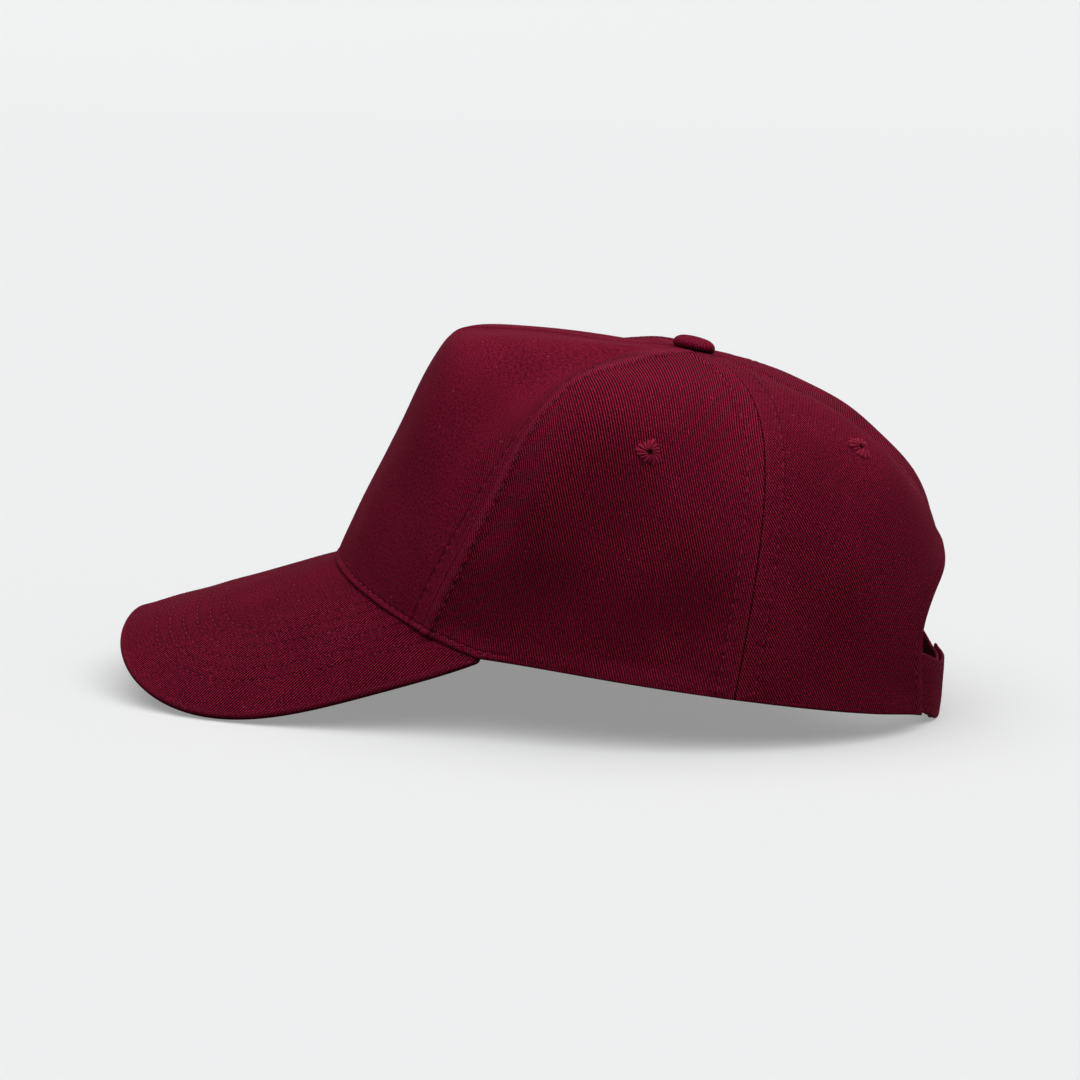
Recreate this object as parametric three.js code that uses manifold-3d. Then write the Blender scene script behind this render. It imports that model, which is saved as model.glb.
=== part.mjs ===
// Five panel cap: a stiff upright front panel with a dart at its top, two side panels, two back
// panels over a half-moon opening, an arched peak, a covered button, four sewn air holes and a
// closing strap in two halves. Millimetres, +Z up; the peak points along -X, the wearer's left is -Y.
import * as THREE from 'three';
import { mergeVertices } from 'three/addons/utils/BufferGeometryUtils.js';
import Module from 'manifold-3d';

const wasm = await Module();
wasm.setup();

// Crown's lower edge, an oval measured from the middle of the head
const frontReach = 98.4;
const rearReach = 104.5;
const crownHalfWidth = 80.5;

// Crown's top, where the panels meet under the button
const apexSetback = 17.9;
const apexHeight = 117.4;
const topHoleRadius = 3;

// Cloth
const frontWall = 2;
const panelWall = 1.5;
const gap = 0.3;
const baseSwell = 0.5;
const baseSwellRise = 40;
const dartDepth = 1.1;
const dartWidth = 3;
const dartStart = 0.5;
const dartFull = 0.62;

// Peak
const peakReach = 69.8;
const peakShoulder = 24.5;
const peakEndAzimuth = 64;
const peakRunOut = 6;
const peakCrest = 43.64;
const peakFall = 0.3268;
const peakDrop = 36.98;
const peakThickness = 3;
const noseRoundness = 3.22;
const sideRoundness = 2.91;

// Rear opening and strap
const openingHeight = 55.5;
const openingSpring = 27.5;
const openingHalfWidth = 33;
const openingFootHalfWidth = 29.2;
const openingRoundness = 1.6;
const strapWidth = 19.3;
const strapThickness = 1.3;
const strapTuck = 16;
const strapOverlap = 30;
const strapLift = 1.6;

// Button and air holes
const buttonRadius = 6.85;
const buttonHeight = 3.6;
const eyeletRadius = 4.5;
const eyeletBore = 0.7;
const eyeletBarrel = 1.7;
const eyeletProud = 1.2;

// One row for each meridian of the crown, by its azimuth from the front. Its corner lies this share
// of the way in to the button and this share of the way up to it, and fullness draws the cloth to it.
const meridians = [
  { azimuth: 0, inward: 0.309, upward: 1.077, fullness: 12.3 },
  { azimuth: 45, inward: 0.155, upward: 1.072, fullness: 1.81 },
  { azimuth: 77, inward: 0.002, upward: 1.058, fullness: 2.06 },
  { azimuth: 109, inward: 0.112, upward: 0.963, fullness: 1.65 },
  { azimuth: 145, inward: -0.038, upward: 0.85, fullness: 2.1 },
  { azimuth: 180, inward: -0.058, upward: 0.729, fullness: 1.81 },
];

// Lower edge behind the peak, as shares of its height at the peak's ends
const rimRows = [
  { azimuth: peakEndAzimuth, height: 1 },
  { azimuth: 77, height: 0.959 },
  { azimuth: 95, height: 0.819 },
  { azimuth: 120, height: 0.571 },
  { azimuth: 145, height: 0.319 },
  { azimuth: 160, height: 0.161 },
  { azimuth: 172, height: 0 },
  { azimuth: 180, height: 0 },
];

// Seams, by their azimuth at the lower edge and at the button
const frontSeam = { foot: 50.4, top: 82.9 };
const rearSeam = { foot: 110.8, top: 125.1 };

// Air holes, by azimuth and by their share of the way up the cloth
const eyeletRows = [
  { name: 'eyelet_side', azimuth: 93.4, share: 0.472 },
  { name: 'eyelet_back', azimuth: 144.2, share: 0.545 },
];

const clothColour = 0x4b0b1b;
const materials = {
  front: new THREE.MeshStandardMaterial({ color: clothColour, roughness: 0.9, metalness: 0 }),
  side: new THREE.MeshStandardMaterial({ color: 0x45091a, roughness: 0.9, metalness: 0 }),
  peak: new THREE.MeshStandardMaterial({ color: 0x580e21, roughness: 0.88, metalness: 0 }),
  thread: new THREE.MeshStandardMaterial({ color: 0x520d20, roughness: 0.7, metalness: 0 }),
};

const radians = THREE.MathUtils.degToRad;
const mix = THREE.MathUtils.lerp;

// A smooth curve through a table's column: a cubic spline, level at both ends
function smoothColumn(rows, column) {
  const at = rows.map((row) => row.azimuth);
  const value = rows.map((row) => row[column]);
  const last = rows.length - 1;
  const slope = value.map(() => 0);
  const weight = value.map(() => 0);
  for (let i = 1; i < last; i++) {
    const before = at[i] - at[i - 1];
    const after = at[i + 1] - at[i];
    const pull = 3 * ((value[i] - value[i - 1]) / before ** 2 + (value[i + 1] - value[i]) / after ** 2);
    const pivot = 2 / before + 2 / after - weight[i - 1] / before;
    weight[i] = 1 / after / pivot;
    slope[i] = (pull - slope[i - 1] / before) / pivot;
  }
  for (let i = last - 1; i > 0; i--) slope[i] -= weight[i] * slope[i + 1];
  return (azimuth) => {
    const place = THREE.MathUtils.clamp(azimuth, at[0], at[last]);
    let i = 0;
    while (i < last - 1 && place > at[i + 1]) i++;
    const span = at[i + 1] - at[i];
    const t = (place - at[i]) / span;
    const rise = value[i + 1] - value[i];
    const a = slope[i] * span - rise;
    const b = rise - slope[i + 1] * span;
    return value[i] + t * rise + t * (1 - t) * ((1 - t) * a + t * b);
  };
}

// Azimuth from the front without its side, for any number of turns
function unsided(azimuth) {
  return Math.abs(THREE.MathUtils.euclideanModulo(azimuth + 180, 360) - 180);
}

// Plan of the crown's lower edge
function rimPlan(azimuth) {
  const turn = radians(azimuth);
  const reach = Math.cos(turn) > 0 ? frontReach : rearReach;
  return new THREE.Vector2(-reach * Math.cos(turn), -crownHalfWidth * Math.sin(turn));
}

// The peak's upper face is a leaning barrel vault, its radius worked out from its drop at the ends
const peakEnd = rimPlan(peakEndAzimuth);
const peakArch = (peakEnd.y ** 2 + peakDrop ** 2) / (2 * peakDrop);

function peakTop(x, y) {
  const sag = peakArch - Math.sqrt(Math.max(peakArch ** 2 - y ** 2, 0));
  return peakCrest + peakFall * (x + frontReach) - sag;
}

// Height of the crown's lower edge: just clear of the peak in front, from the table behind it
const rimLift = peakTop(peakEnd.x, peakEnd.y) + gap;
const rimShare = smoothColumn(rimRows, 'height');

function rimHeight(azimuth, x, y) {
  if (unsided(azimuth) < peakEndAzimuth) return peakTop(x, y) + gap;
  return rimLift * Math.max(rimShare(unsided(azimuth)), 0);
}

// A meridian is a conic arc from the lower edge to the button, bent towards its corner point
const inward = smoothColumn(meridians, 'inward');
const upward = smoothColumn(meridians, 'upward');
const fullness = smoothColumn(meridians, 'fullness');
const meridianSteps = 64;
const meridianStore = new Map();

function meridian(azimuth) {
  if (meridianStore.has(azimuth)) return meridianStore.get(azimuth);
  const side = unsided(azimuth);
  const plan = rimPlan(azimuth);
  const foot = new THREE.Vector3(plan.x, plan.y, rimHeight(azimuth, plan.x, plan.y));
  const apex = new THREE.Vector3(apexSetback, 0, apexHeight);
  const corner = foot.clone().lerp(apex, inward(side));
  corner.z = mix(foot.z, apex.z, upward(side));
  const pull = fullness(side);
  const at = (t) => {
    const a = (1 - t) ** 2;
    const b = 2 * t * (1 - t) * pull;
    const c = t ** 2;
    const point = foot.clone().multiplyScalar(a);
    point.addScaledVector(corner, b);
    point.addScaledVector(apex, c);
    return point.divideScalar(a + b + c);
  };
  const along = [0];
  let previous = foot;
  for (let i = 1; i <= meridianSteps; i++) {
    const point = at(i / meridianSteps);
    along.push(along[i - 1] + point.distanceTo(previous));
    previous = point;
  }
  const found = { at, along, length: along[meridianSteps] };
  meridianStore.set(azimuth, found);
  return found;
}

// A point of the crown's outer face, by azimuth and by its share of the way up the cloth
function crownPoint(azimuth, share) {
  const { at, along, length } = meridian(azimuth);
  const want = share * length;
  let i = 1;
  while (i < meridianSteps && along[i] < want) i++;
  const part = (want - along[i - 1]) / (along[i] - along[i - 1]);
  const point = at((i - 1 + part) / meridianSteps);
  const turn = radians(azimuth);
  const rise = Math.min(want / baseSwellRise, 1);
  const swell = baseSwell * Math.sin(Math.PI * rise) ** 2 * Math.max(Math.cos(turn), 0) ** 4;
  point.x -= swell * Math.cos(turn);
  point.y -= swell * Math.sin(turn);
  return point;
}

// Outward direction there, from the slopes along and up the cloth
function crownNormal(azimuth, share) {
  const turn = 0.4;
  const climb = 0.008;
  const low = Math.min(Math.max(share - climb, 0), 1 - 3 * climb);
  const along = crownPoint(azimuth + turn, share).sub(crownPoint(azimuth - turn, share));
  const up = crownPoint(azimuth, low + 2 * climb).sub(crownPoint(azimuth, low));
  return along.cross(up).normalize();
}

// Degrees of azimuth that a length along the cloth takes up
function degreesFor(length, azimuth, share) {
  const turn = 0.5;
  const chord = crownPoint(azimuth + turn, share).distanceTo(crownPoint(azimuth - turn, share));
  return (length * 2 * turn) / chord;
}

function indexed(points, faces) {
  const geometry = new THREE.BufferGeometry();
  const numbers = points.flatMap((point) => [point.x, point.y, point.z]);
  geometry.setAttribute('position', new THREE.Float32BufferAttribute(numbers, 3));
  geometry.setIndex(faces);
  return geometry;
}

// A wall between two nets of points, rows by columns, with its four edges closed
function wall(outer, inner) {
  const rows = outer.length;
  const columns = outer[0].length;
  const points = [...outer.flat(), ...inner.flat()];
  const front = (row, column) => row * columns + column;
  const back = (row, column) => rows * columns + front(row, column);
  const faces = [];
  const quad = (a, b, c, d) => faces.push(a, b, c, a, c, d);
  for (let r = 0; r < rows - 1; r++) {
    for (let c = 0; c < columns - 1; c++) {
      quad(front(r, c), front(r, c + 1), front(r + 1, c + 1), front(r + 1, c));
      quad(back(r, c), back(r + 1, c), back(r + 1, c + 1), back(r, c + 1));
    }
    quad(front(r, 0), front(r + 1, 0), back(r + 1, 0), back(r, 0));
    const end = columns - 1;
    quad(front(r, end), back(r, end), back(r + 1, end), front(r + 1, end));
  }
  for (let c = 0; c < columns - 1; c++) {
    quad(front(0, c + 1), front(0, c), back(0, c), back(0, c + 1));
    quad(front(rows - 1, c), front(rows - 1, c + 1), back(rows - 1, c + 1), back(rows - 1, c));
  }
  return indexed(points, faces);
}

// A body whose rings of points run once round it, closed by a fan at each end
function stack(rings) {
  const count = rings[0].length;
  const points = rings.flat();
  const faces = [];
  for (let r = 0; r < rings.length - 1; r++) {
    for (let k = 0; k < count; k++) {
      const a = r * count + k;
      const b = r * count + ((k + 1) % count);
      faces.push(a, b, b + count, a, b + count, a + count);
    }
  }
  const centre = (ring) => {
    const sum = ring.reduce((total, point) => total.add(point), new THREE.Vector3());
    return sum.divideScalar(count);
  };
  const first = points.push(centre(rings[0])) - 1;
  const last = points.push(centre(rings.at(-1))) - 1;
  for (let k = 0; k < count; k++) {
    const next = (k + 1) % count;
    const top = (rings.length - 1) * count;
    faces.push(first, next, k);
    faces.push(last, top + k, top + next);
  }
  return indexed(points, faces);
}

function toSolid(geometry) {
  const bare = geometry.clone();
  bare.deleteAttribute('normal');
  bare.deleteAttribute('uv');
  const merged = mergeVertices(bare, 1e-4);
  const vertProperties = new Float32Array(merged.attributes.position.array);
  const triVerts = new Uint32Array(merged.index.array);
  return new wasm.Manifold(new wasm.Mesh({ numProp: 3, vertProperties, triVerts }));
}

function fromSolid(solid) {
  const mesh = solid.getMesh();
  const geometry = new THREE.BufferGeometry();
  geometry.setAttribute('position', new THREE.BufferAttribute(mesh.vertProperties, 3));
  geometry.setIndex(new THREE.BufferAttribute(mesh.triVerts, 1));
  return geometry;
}

// Half the opening's width along the cloth, as an angle, at a share of the way up the centre back
const backLength = meridian(180).length;
const springShare = openingSpring / backLength;
const openingShare = openingHeight / backLength;

function openingHalfAngle(share) {
  if (share >= openingShare) return 0;
  const angle = (width) => THREE.MathUtils.radToDeg(Math.asin(width / crownHalfWidth));
  if (share <= springShare) {
    const ease = Math.sin((share / springShare) * (Math.PI / 2));
    return mix(angle(openingFootHalfWidth), angle(openingHalfWidth), ease);
  }
  const climb = (share - springShare) / (openingShare - springShare);
  return angle(openingHalfWidth) * (1 - climb ** openingRoundness) ** (1 / openingRoundness);
}

const seamAt = (seam, share) => mix(seam.foot, seam.top, share);

// Shares of the way up at which every panel has a row, crowded below the opening's top
function rowShares() {
  const archSteps = 6;
  const upperSteps = 12;
  const shares = [0, springShare / 2, springShare];
  for (let k = 1; k <= archSteps; k++) {
    const climb = Math.sin((k / archSteps) * (Math.PI / 2)) ** (2 / openingRoundness);
    shares.push(mix(springShare, openingShare, climb));
  }
  for (let k = 1; k <= upperSteps; k++) shares.push(mix(openingShare, 1, k / upperSteps));
  return shares;
}

// A panel between two edges, each an azimuth for a share. A crowd over 1 draws the columns to the
// middle, where a dart may be pressed in.
function panel({ from, to, columns, thickness, crowd = 1, dart = 0 }) {
  const outer = [];
  const inner = [];
  for (const share of rowShares()) {
    const outerRow = [];
    const innerRow = [];
    const start = from(share);
    const end = to(share);
    const below = share * (1 - topHoleRadius / backLength);
    const first = start + degreesFor(gap / 2, start, below);
    const final = end - degreesFor(gap / 2, end, below);
    for (let k = 0; k <= columns; k++) {
      const side = (2 * k) / columns - 1;
      const place = (Math.sign(side) * Math.abs(side) ** crowd + 1) / 2;
      const azimuth = mix(first, final, place);
      const reach = share * (1 - topHoleRadius / meridian(azimuth).length);
      const point = crownPoint(azimuth, reach);
      const normal = crownNormal(azimuth, reach);
      const hidden = point.clone().addScaledVector(normal, -thickness);
      if (share === 0) {
        const overPeak = unsided(azimuth) < peakEndAzimuth + peakRunOut;
        hidden.z = overPeak ? Math.max(point.z, peakTop(hidden.x, hidden.y) + gap) : point.z;
      }
      const dent = dart * dartShape(point.y, share);
      point.addScaledVector(normal, -dent);
      hidden.addScaledVector(normal, -dent);
      outerRow.push(point);
      innerRow.push(hidden);
    }
    outer.push(outerRow);
    inner.push(innerRow);
  }
  return wall(outer, inner);
}

// The dart is a shallow groove at the front's centre, from its top corner to the button
function dartShape(y, share) {
  const ramp = THREE.MathUtils.smoothstep(share, dartStart, dartFull);
  return ramp * Math.exp(-((y / dartWidth) ** 2));
}

const cap = new THREE.Group();

function place(name, geometry, material) {
  const mesh = new THREE.Mesh(geometry, material);
  mesh.name = name;
  cap.add(mesh);
  return mesh;
}

// Air holes: a bored barrel through the cloth between two flanges
function eyeletFrame(row, hand) {
  const azimuth = hand * row.azimuth;
  const position = crownPoint(azimuth, row.share);
  const normal = crownNormal(azimuth, row.share);
  const turn = new THREE.Quaternion().setFromUnitVectors(new THREE.Vector3(0, 1, 0), normal);
  return { position, turn };
}

function eyeletHole(row, hand) {
  const clear = eyeletBarrel + gap;
  const drill = new THREE.CylinderGeometry(clear, clear, 6 * panelWall, 14);
  const { position, turn } = eyeletFrame(row, hand);
  drill.applyQuaternion(turn);
  drill.translate(position.x, position.y, position.z);
  return toSolid(drill);
}

function eyelet() {
  const under = -panelWall - 3 * gap;
  const flangeEdge = 0.5;
  const innerFlange = 0.55 * eyeletRadius;
  const shoulder = 0.75 * eyeletRadius;
  const lip = 0.4 * eyeletRadius;
  const mouth = 0.6 * eyeletProud;
  const profile = [
    [eyeletBore, under - flangeEdge],
    [innerFlange, under - flangeEdge],
    [innerFlange, under],
    [eyeletBarrel, under],
    [eyeletBarrel, gap],
    [eyeletRadius, gap],
    [eyeletRadius, gap + flangeEdge],
    [shoulder, eyeletProud],
    [lip, eyeletProud],
    [eyeletBore, mouth],
  ];
  const points = profile.map(([radius, height]) => new THREE.Vector2(radius, height));
  return new THREE.LatheGeometry([...points, points[0]], 12);
}

// Panels
const frontEdge = (share) => seamAt(frontSeam, share);
const rearEdge = (share) => seamAt(rearSeam, share);
const openEdge = (share) => 180 - openingHalfAngle(share);

place('front_panel', panel({
  from: (share) => -frontEdge(share),
  to: frontEdge,
  columns: 20,
  thickness: frontWall,
  crowd: 1.5,
  dart: dartDepth,
}), materials.front);

for (const [suffix, hand] of [['left', 1], ['right', -1]]) {
  const edges = (a, b) => (hand > 0 ? { from: a, to: b } : { from: (s) => -b(s), to: (s) => -a(s) });
  const side = panel({ ...edges(frontEdge, rearEdge), columns: 12, thickness: panelWall });
  const back = panel({ ...edges(rearEdge, openEdge), columns: 12, thickness: panelWall });
  const pierced = [side, back].map((cloth, i) => toSolid(cloth).subtract(eyeletHole(eyeletRows[i], hand)));
  place(`side_panel_${suffix}`, fromSolid(pierced[0]), materials.side);
  place(`back_panel_${suffix}`, fromSolid(pierced[1]), materials.side);
  for (const row of eyeletRows) {
    const ring = place(`${row.name}_${suffix}`, eyelet(), materials.thread);
    const { position, turn } = eyeletFrame(row, hand);
    ring.position.copy(position);
    ring.quaternion.copy(turn);
  }
}

// Peak: its plan is a rounded outline whose sides run back to the crown's edge at the peak's ends
const peakNose = -frontReach - peakReach;
const peakMiddle = -frontReach + peakShoulder;
const peakLength = peakMiddle - peakNose;
const endCosine = -(((peakEnd.x - peakMiddle) / peakLength) ** (noseRoundness / 2));
const endTurn = Math.acos(endCosine);
const peakHalfWidth = -peakEnd.y / Math.sin(endTurn) ** (2 / sideRoundness);

function peakOutline(turn) {
  const c = Math.cos(turn);
  const s = Math.sin(turn);
  const x = peakMiddle - peakLength * Math.sign(c) * Math.abs(c) ** (2 / noseRoundness);
  const y = -peakHalfWidth * Math.sign(s) * Math.abs(s) ** (2 / sideRoundness);
  return new THREE.Vector2(x, y);
}

// Points spread evenly along the outline from one end to the other
function evenOutline(count) {
  const fine = 720;
  const points = [peakOutline(-endTurn)];
  const along = [0];
  for (let i = 1; i <= fine; i++) {
    points.push(peakOutline(mix(-endTurn, endTurn, i / fine)));
    along.push(along[i - 1] + points[i].distanceTo(points[i - 1]));
  }
  const spread = [];
  let i = 1;
  for (let k = 0; k <= count; k++) {
    const want = (along[fine] * k) / count;
    while (i < fine && along[i] < want) i++;
    const part = (want - along[i - 1]) / (along[i] - along[i - 1]);
    spread.push(points[i - 1].clone().lerp(points[i], part));
  }
  return spread;
}

function peakPoint(x, y, depth) {
  const sag = Math.sqrt(Math.max(peakArch ** 2 - y ** 2, 0));
  const normal = new THREE.Vector3(-peakFall, y / peakArch, sag / peakArch).normalize();
  return new THREE.Vector3(x, y, peakTop(x, y)).addScaledVector(normal, -depth);
}

function peak() {
  const columns = 40;
  const rows = 7;
  const seat = frontWall + gap;
  const edge = evenOutline(columns);
  const outer = [];
  const inner = [];
  for (let r = 0; r <= rows; r++) {
    const inwards = r / rows;
    const outerRow = [];
    const innerRow = [];
    for (let k = 0; k <= columns; k++) {
      const azimuth = mix(-peakEndAzimuth, peakEndAzimuth, k / columns);
      const plan = rimPlan(azimuth);
      const root = plan.clone().multiplyScalar(1 - seat / plan.length());
      const spot = edge[k].clone().lerp(root, inwards);
      outerRow.push(peakPoint(spot.x, spot.y, 0));
      innerRow.push(peakPoint(spot.x, spot.y, peakThickness));
    }
    outer.push(outerRow);
    inner.push(innerRow);
  }
  return wall(outer, inner);
}

place('peak', peak(), materials.peak);

// Button: a dome whose underside follows the crown round its apex
function apexRing(radius, count, lift) {
  return Array.from({ length: count }, (unused, k) => {
    const azimuth = (360 * k) / count - 180;
    const share = 1 - radius / meridian(azimuth).length;
    const point = crownPoint(azimuth, share);
    return point.addScaledVector(crownNormal(azimuth, share), lift);
  });
}

function button() {
  const count = 18;
  const apex = new THREE.Vector3(apexSetback, 0, apexHeight);
  const rim = apexRing(buttonRadius, count, gap);
  const ahead = rim[count / 2].clone().sub(rim[0]);
  const axis = new THREE.Vector3(-ahead.z, 0, ahead.x).normalize();
  if (axis.z < 0) axis.negate();
  const underside = [0.45, 0.75].map((share) => apexRing(share * buttonRadius, count, gap));
  const rings = [...underside, rim];
  const dome = [
    { reach: 1.03, rise: 0.4 },
    { reach: 0.96, rise: 0.68 },
    { reach: 0.78, rise: 0.88 },
    { reach: 0.45, rise: 1 },
  ];
  for (const { reach, rise } of dome) {
    rings.push(rim.map((point) => {
      const spoke = point.clone().sub(apex);
      spoke.addScaledVector(axis, -spoke.dot(axis) * rise);
      const out = apex.clone().addScaledVector(spoke, reach);
      return out.addScaledVector(axis, gap + buttonHeight * rise);
    }));
  }
  return stack(rings);
}

place('button', button(), materials.peak);

// Strap halves follow the crown's rear edge. Depth is how far the outer face lies inside the
// crown's outer face: behind the panels at the ends, level with them across the opening.
function strap({ start, end, depth, lift }) {
  const columns = 14;
  const rows = 2;
  const outer = [];
  const inner = [];
  for (let r = 0; r <= rows; r++) {
    const outerRow = [];
    const innerRow = [];
    for (let k = 0; k <= columns; k++) {
      const azimuth = mix(start, end, k / columns);
      const length = meridian(azimuth).length;
      const from = lift(azimuth) / length;
      const share = from + ((strapWidth / length) * r) / rows;
      const face = crownPoint(azimuth, share);
      const normal = crownNormal(azimuth, share);
      normal.z = 0;
      normal.normalize();
      const sunk = depth(azimuth);
      outerRow.push(face.clone().addScaledVector(normal, -sunk));
      innerRow.push(face.clone().addScaledVector(normal, -sunk - strapThickness));
    }
    outer.push(outerRow);
    inner.push(innerRow);
  }
  return wall(outer, inner);
}

const edgeAngle = openingHalfAngle(springShare);
const tuckAngle = THREE.MathUtils.radToDeg(strapTuck / crownHalfWidth);
const overlapAngle = THREE.MathUtils.radToDeg(strapOverlap / crownHalfWidth) / 2;
const behindPanel = panelWall + gap;
const underOther = strapThickness + gap;
const strapDrop = (azimuth) => {
  const off = Math.abs(azimuth - 180);
  return strapLift * THREE.MathUtils.smoothstep(off, 180 - rimRows.at(-2).azimuth, edgeAngle);
};

place('strap_left', strap({
  start: 180 - edgeAngle - tuckAngle,
  end: 180 + overlapAngle,
  depth: (azimuth) => behindPanel * THREE.MathUtils.smoothstep(180 - azimuth, overlapAngle, edgeAngle),
  lift: strapDrop,
}), materials.peak);

place('strap_right', strap({
  start: 180 - 0.9 * overlapAngle,
  end: 180 + edgeAngle + tuckAngle,
  depth: () => Math.max(underOther, behindPanel),
  lift: strapDrop,
}), materials.peak);

// Stand the cap on the ground, over the middle of its outline
cap.updateMatrixWorld(true);
const bounds = new THREE.Box3().setFromObject(cap, true);
const middle = bounds.getCenter(new THREE.Vector3());
cap.position.set(-middle.x, -middle.y, -bounds.min.z);

export default cap;
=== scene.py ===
# Five panel cap in burgundy cotton twill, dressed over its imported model.
# Shapes are worked out in millimetres from the middle of the head, X to the rear and Z up. An
# azimuth runs from 0 at the front to 180 at the back, positive on the wearer's left, which is -Y.
import bpy
import math
import numpy as np
from mathutils import Matrix, Vector


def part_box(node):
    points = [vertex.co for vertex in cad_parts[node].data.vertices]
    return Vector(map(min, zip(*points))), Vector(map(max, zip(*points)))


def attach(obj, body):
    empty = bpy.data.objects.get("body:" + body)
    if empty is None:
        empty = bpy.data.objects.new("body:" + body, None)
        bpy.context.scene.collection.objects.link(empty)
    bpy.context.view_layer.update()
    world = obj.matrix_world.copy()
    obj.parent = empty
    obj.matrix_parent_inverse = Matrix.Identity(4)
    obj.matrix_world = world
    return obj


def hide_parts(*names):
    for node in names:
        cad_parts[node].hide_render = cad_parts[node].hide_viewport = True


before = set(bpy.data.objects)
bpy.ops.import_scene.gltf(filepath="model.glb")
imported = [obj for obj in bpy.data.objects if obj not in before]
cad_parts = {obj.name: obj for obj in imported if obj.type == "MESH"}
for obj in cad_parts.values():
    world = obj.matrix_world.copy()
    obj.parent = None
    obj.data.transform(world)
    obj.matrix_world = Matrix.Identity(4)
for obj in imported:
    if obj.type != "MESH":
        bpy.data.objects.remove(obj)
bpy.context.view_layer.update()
print("frame loaded with", len(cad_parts), "solids")

# Sizes of the crown, as the solids have them
crown = {
    "frontReach": 98.4, "rearReach": 104.5, "halfWidth": 80.5,
    "apexSetback": 17.9, "apexHeight": 117.4, "topHole": 3.0,
    "frontWall": 2.0, "panelWall": 1.5, "gap": 0.3,
    "swell": 0.5, "swellRise": 40.0,
}
# Where the worn cloth has sunk a little on each side of the button
sunk = {"azimuth": 80.0, "around": 17.0, "share": 0.70, "spread": 0.11, "depth": 1.8}
peak = {
    "reach": 69.8, "shoulder": 24.5, "endAzimuth": 64.0, "runOut": 6.0,
    "crest": 43.64, "fall": 0.3268, "drop": 36.98, "thickness": 3.0,
    "noseRoundness": 3.22, "sideRoundness": 2.91,
}
opening = {
    "height": 55.5, "spring": 27.5, "halfWidth": 33.0, "footHalfWidth": 29.2, "roundness": 1.6,
}
strap = {"width": 19.3, "thickness": 1.3, "tuck": 16.0, "overlap": 30.0, "lift": 1.6}

# Meridians of the crown: azimuth, shares of the way in and up to the corner, fullness
meridianRows = np.array([
    [0, 0.309, 1.077, 12.3],
    [45, 0.155, 1.072, 1.81],
    [77, 0.002, 1.058, 2.06],
    [109, 0.112, 0.963, 1.65],
    [145, -0.038, 0.85, 2.1],
    [180, -0.058, 0.729, 1.81],
])
# Lower edge behind the peak: azimuth, share of its height at the peak's ends
rimRows = np.array([
    [64, 1], [77, 0.959], [95, 0.819], [120, 0.571], [145, 0.319], [160, 0.161], [172, 0], [180, 0],
])
frontSeam = {"foot": 50.4, "top": 82.9}  # azimuths
rearSeam = {"foot": 110.8, "top": 125.1}
airHoles = [
    {"name": "side", "azimuth": 93.4, "share": 0.472},
    {"name": "back", "azimuth": 144.2, "share": 0.545},
]
sides = (("left", 1), ("right", -1))  # the wearer's, each with its hand: the sign of its azimuths

# Millimetres from the middle of the head, to metres in the frame of the solids
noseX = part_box("peak")[0][0] * 1000
frameShift = np.array([noseX + crown["frontReach"] + peak["reach"], 0.0, 0.0])


# Smooth step from 0 to 1 between two values: 3t^2 - 2t^3
def ease(value, start, end):
    t = np.clip((value - start) / (end - start), 0, 1)
    return t * t * (3 - 2 * t)


def bell(value, width):  # exp(-(value/width)^2)
    return np.exp(-(value / width) ** 2)


def lengths(points):  # running length along the last but one axis, from 0
    steps = np.linalg.norm(np.diff(points, axis=-2), axis=-1)
    return np.concatenate([np.zeros(steps.shape[:-1] + (1,)), np.cumsum(steps, axis=-1)], axis=-1)


def unit(vectors):
    return vectors / np.maximum(np.linalg.norm(vectors, axis=-1, keepdims=True), 1e-9)


# Cubic spline through a table's column, level at both ends. Its slopes s solve
# s[i-1]/a + 2 s[i] (1/a + 1/b) + s[i+1]/b = 3 (rise before/a^2 + rise after/b^2).
def smoothCurve(at, value):
    span = np.diff(at)
    rise = np.diff(value)
    last = len(at) - 1
    system = np.eye(last + 1)
    pull = np.zeros(last + 1)
    for i in range(1, last):
        system[i, i - 1:i + 2] = 1 / span[i - 1], 2 / span[i - 1] + 2 / span[i], 1 / span[i]
        pull[i] = 3 * (rise[i - 1] / span[i - 1] ** 2 + rise[i] / span[i] ** 2)
    slope = np.linalg.solve(system, pull)

    def curve(x):
        place = np.clip(x, at[0], at[-1])
        i = np.clip(np.searchsorted(at, place) - 1, 0, last - 1)
        t = (place - at[i]) / span[i]
        a = slope[i] * span[i] - rise[i]
        b = rise[i] - slope[i + 1] * span[i]
        return value[i] + t * rise[i] + t * (1 - t) * ((1 - t) * a + t * b)

    return curve


inward = smoothCurve(meridianRows[:, 0], meridianRows[:, 1])
upward = smoothCurve(meridianRows[:, 0], meridianRows[:, 2])
fullness = smoothCurve(meridianRows[:, 0], meridianRows[:, 3])
rimShare = smoothCurve(rimRows[:, 0], rimRows[:, 1])


def unsided(azimuth):
    return np.abs((azimuth + 180) % 360 - 180)


# Plan of the lower edge: a half ellipse in front of the head's middle and another behind it
def rimPlan(azimuth):
    turn = np.radians(azimuth)
    reach = np.where(np.cos(turn) > 0, crown["frontReach"], crown["rearReach"])
    return -reach * np.cos(turn), -crown["halfWidth"] * np.sin(turn)


peakEndX, peakEndY = (float(v) for v in rimPlan(np.array(peak["endAzimuth"])))
peakArch = (peakEndY ** 2 + peak["drop"] ** 2) / (2 * peak["drop"])


# Upper face of the peak: a barrel vault of radius peakArch that leans forward
def peakTop(x, y):
    sag = peakArch - np.sqrt(np.maximum(peakArch ** 2 - y ** 2, 0))
    return peak["crest"] + peak["fall"] * (x + crown["frontReach"]) - sag


rimLift = float(peakTop(peakEndX, peakEndY)) + crown["gap"]


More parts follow.
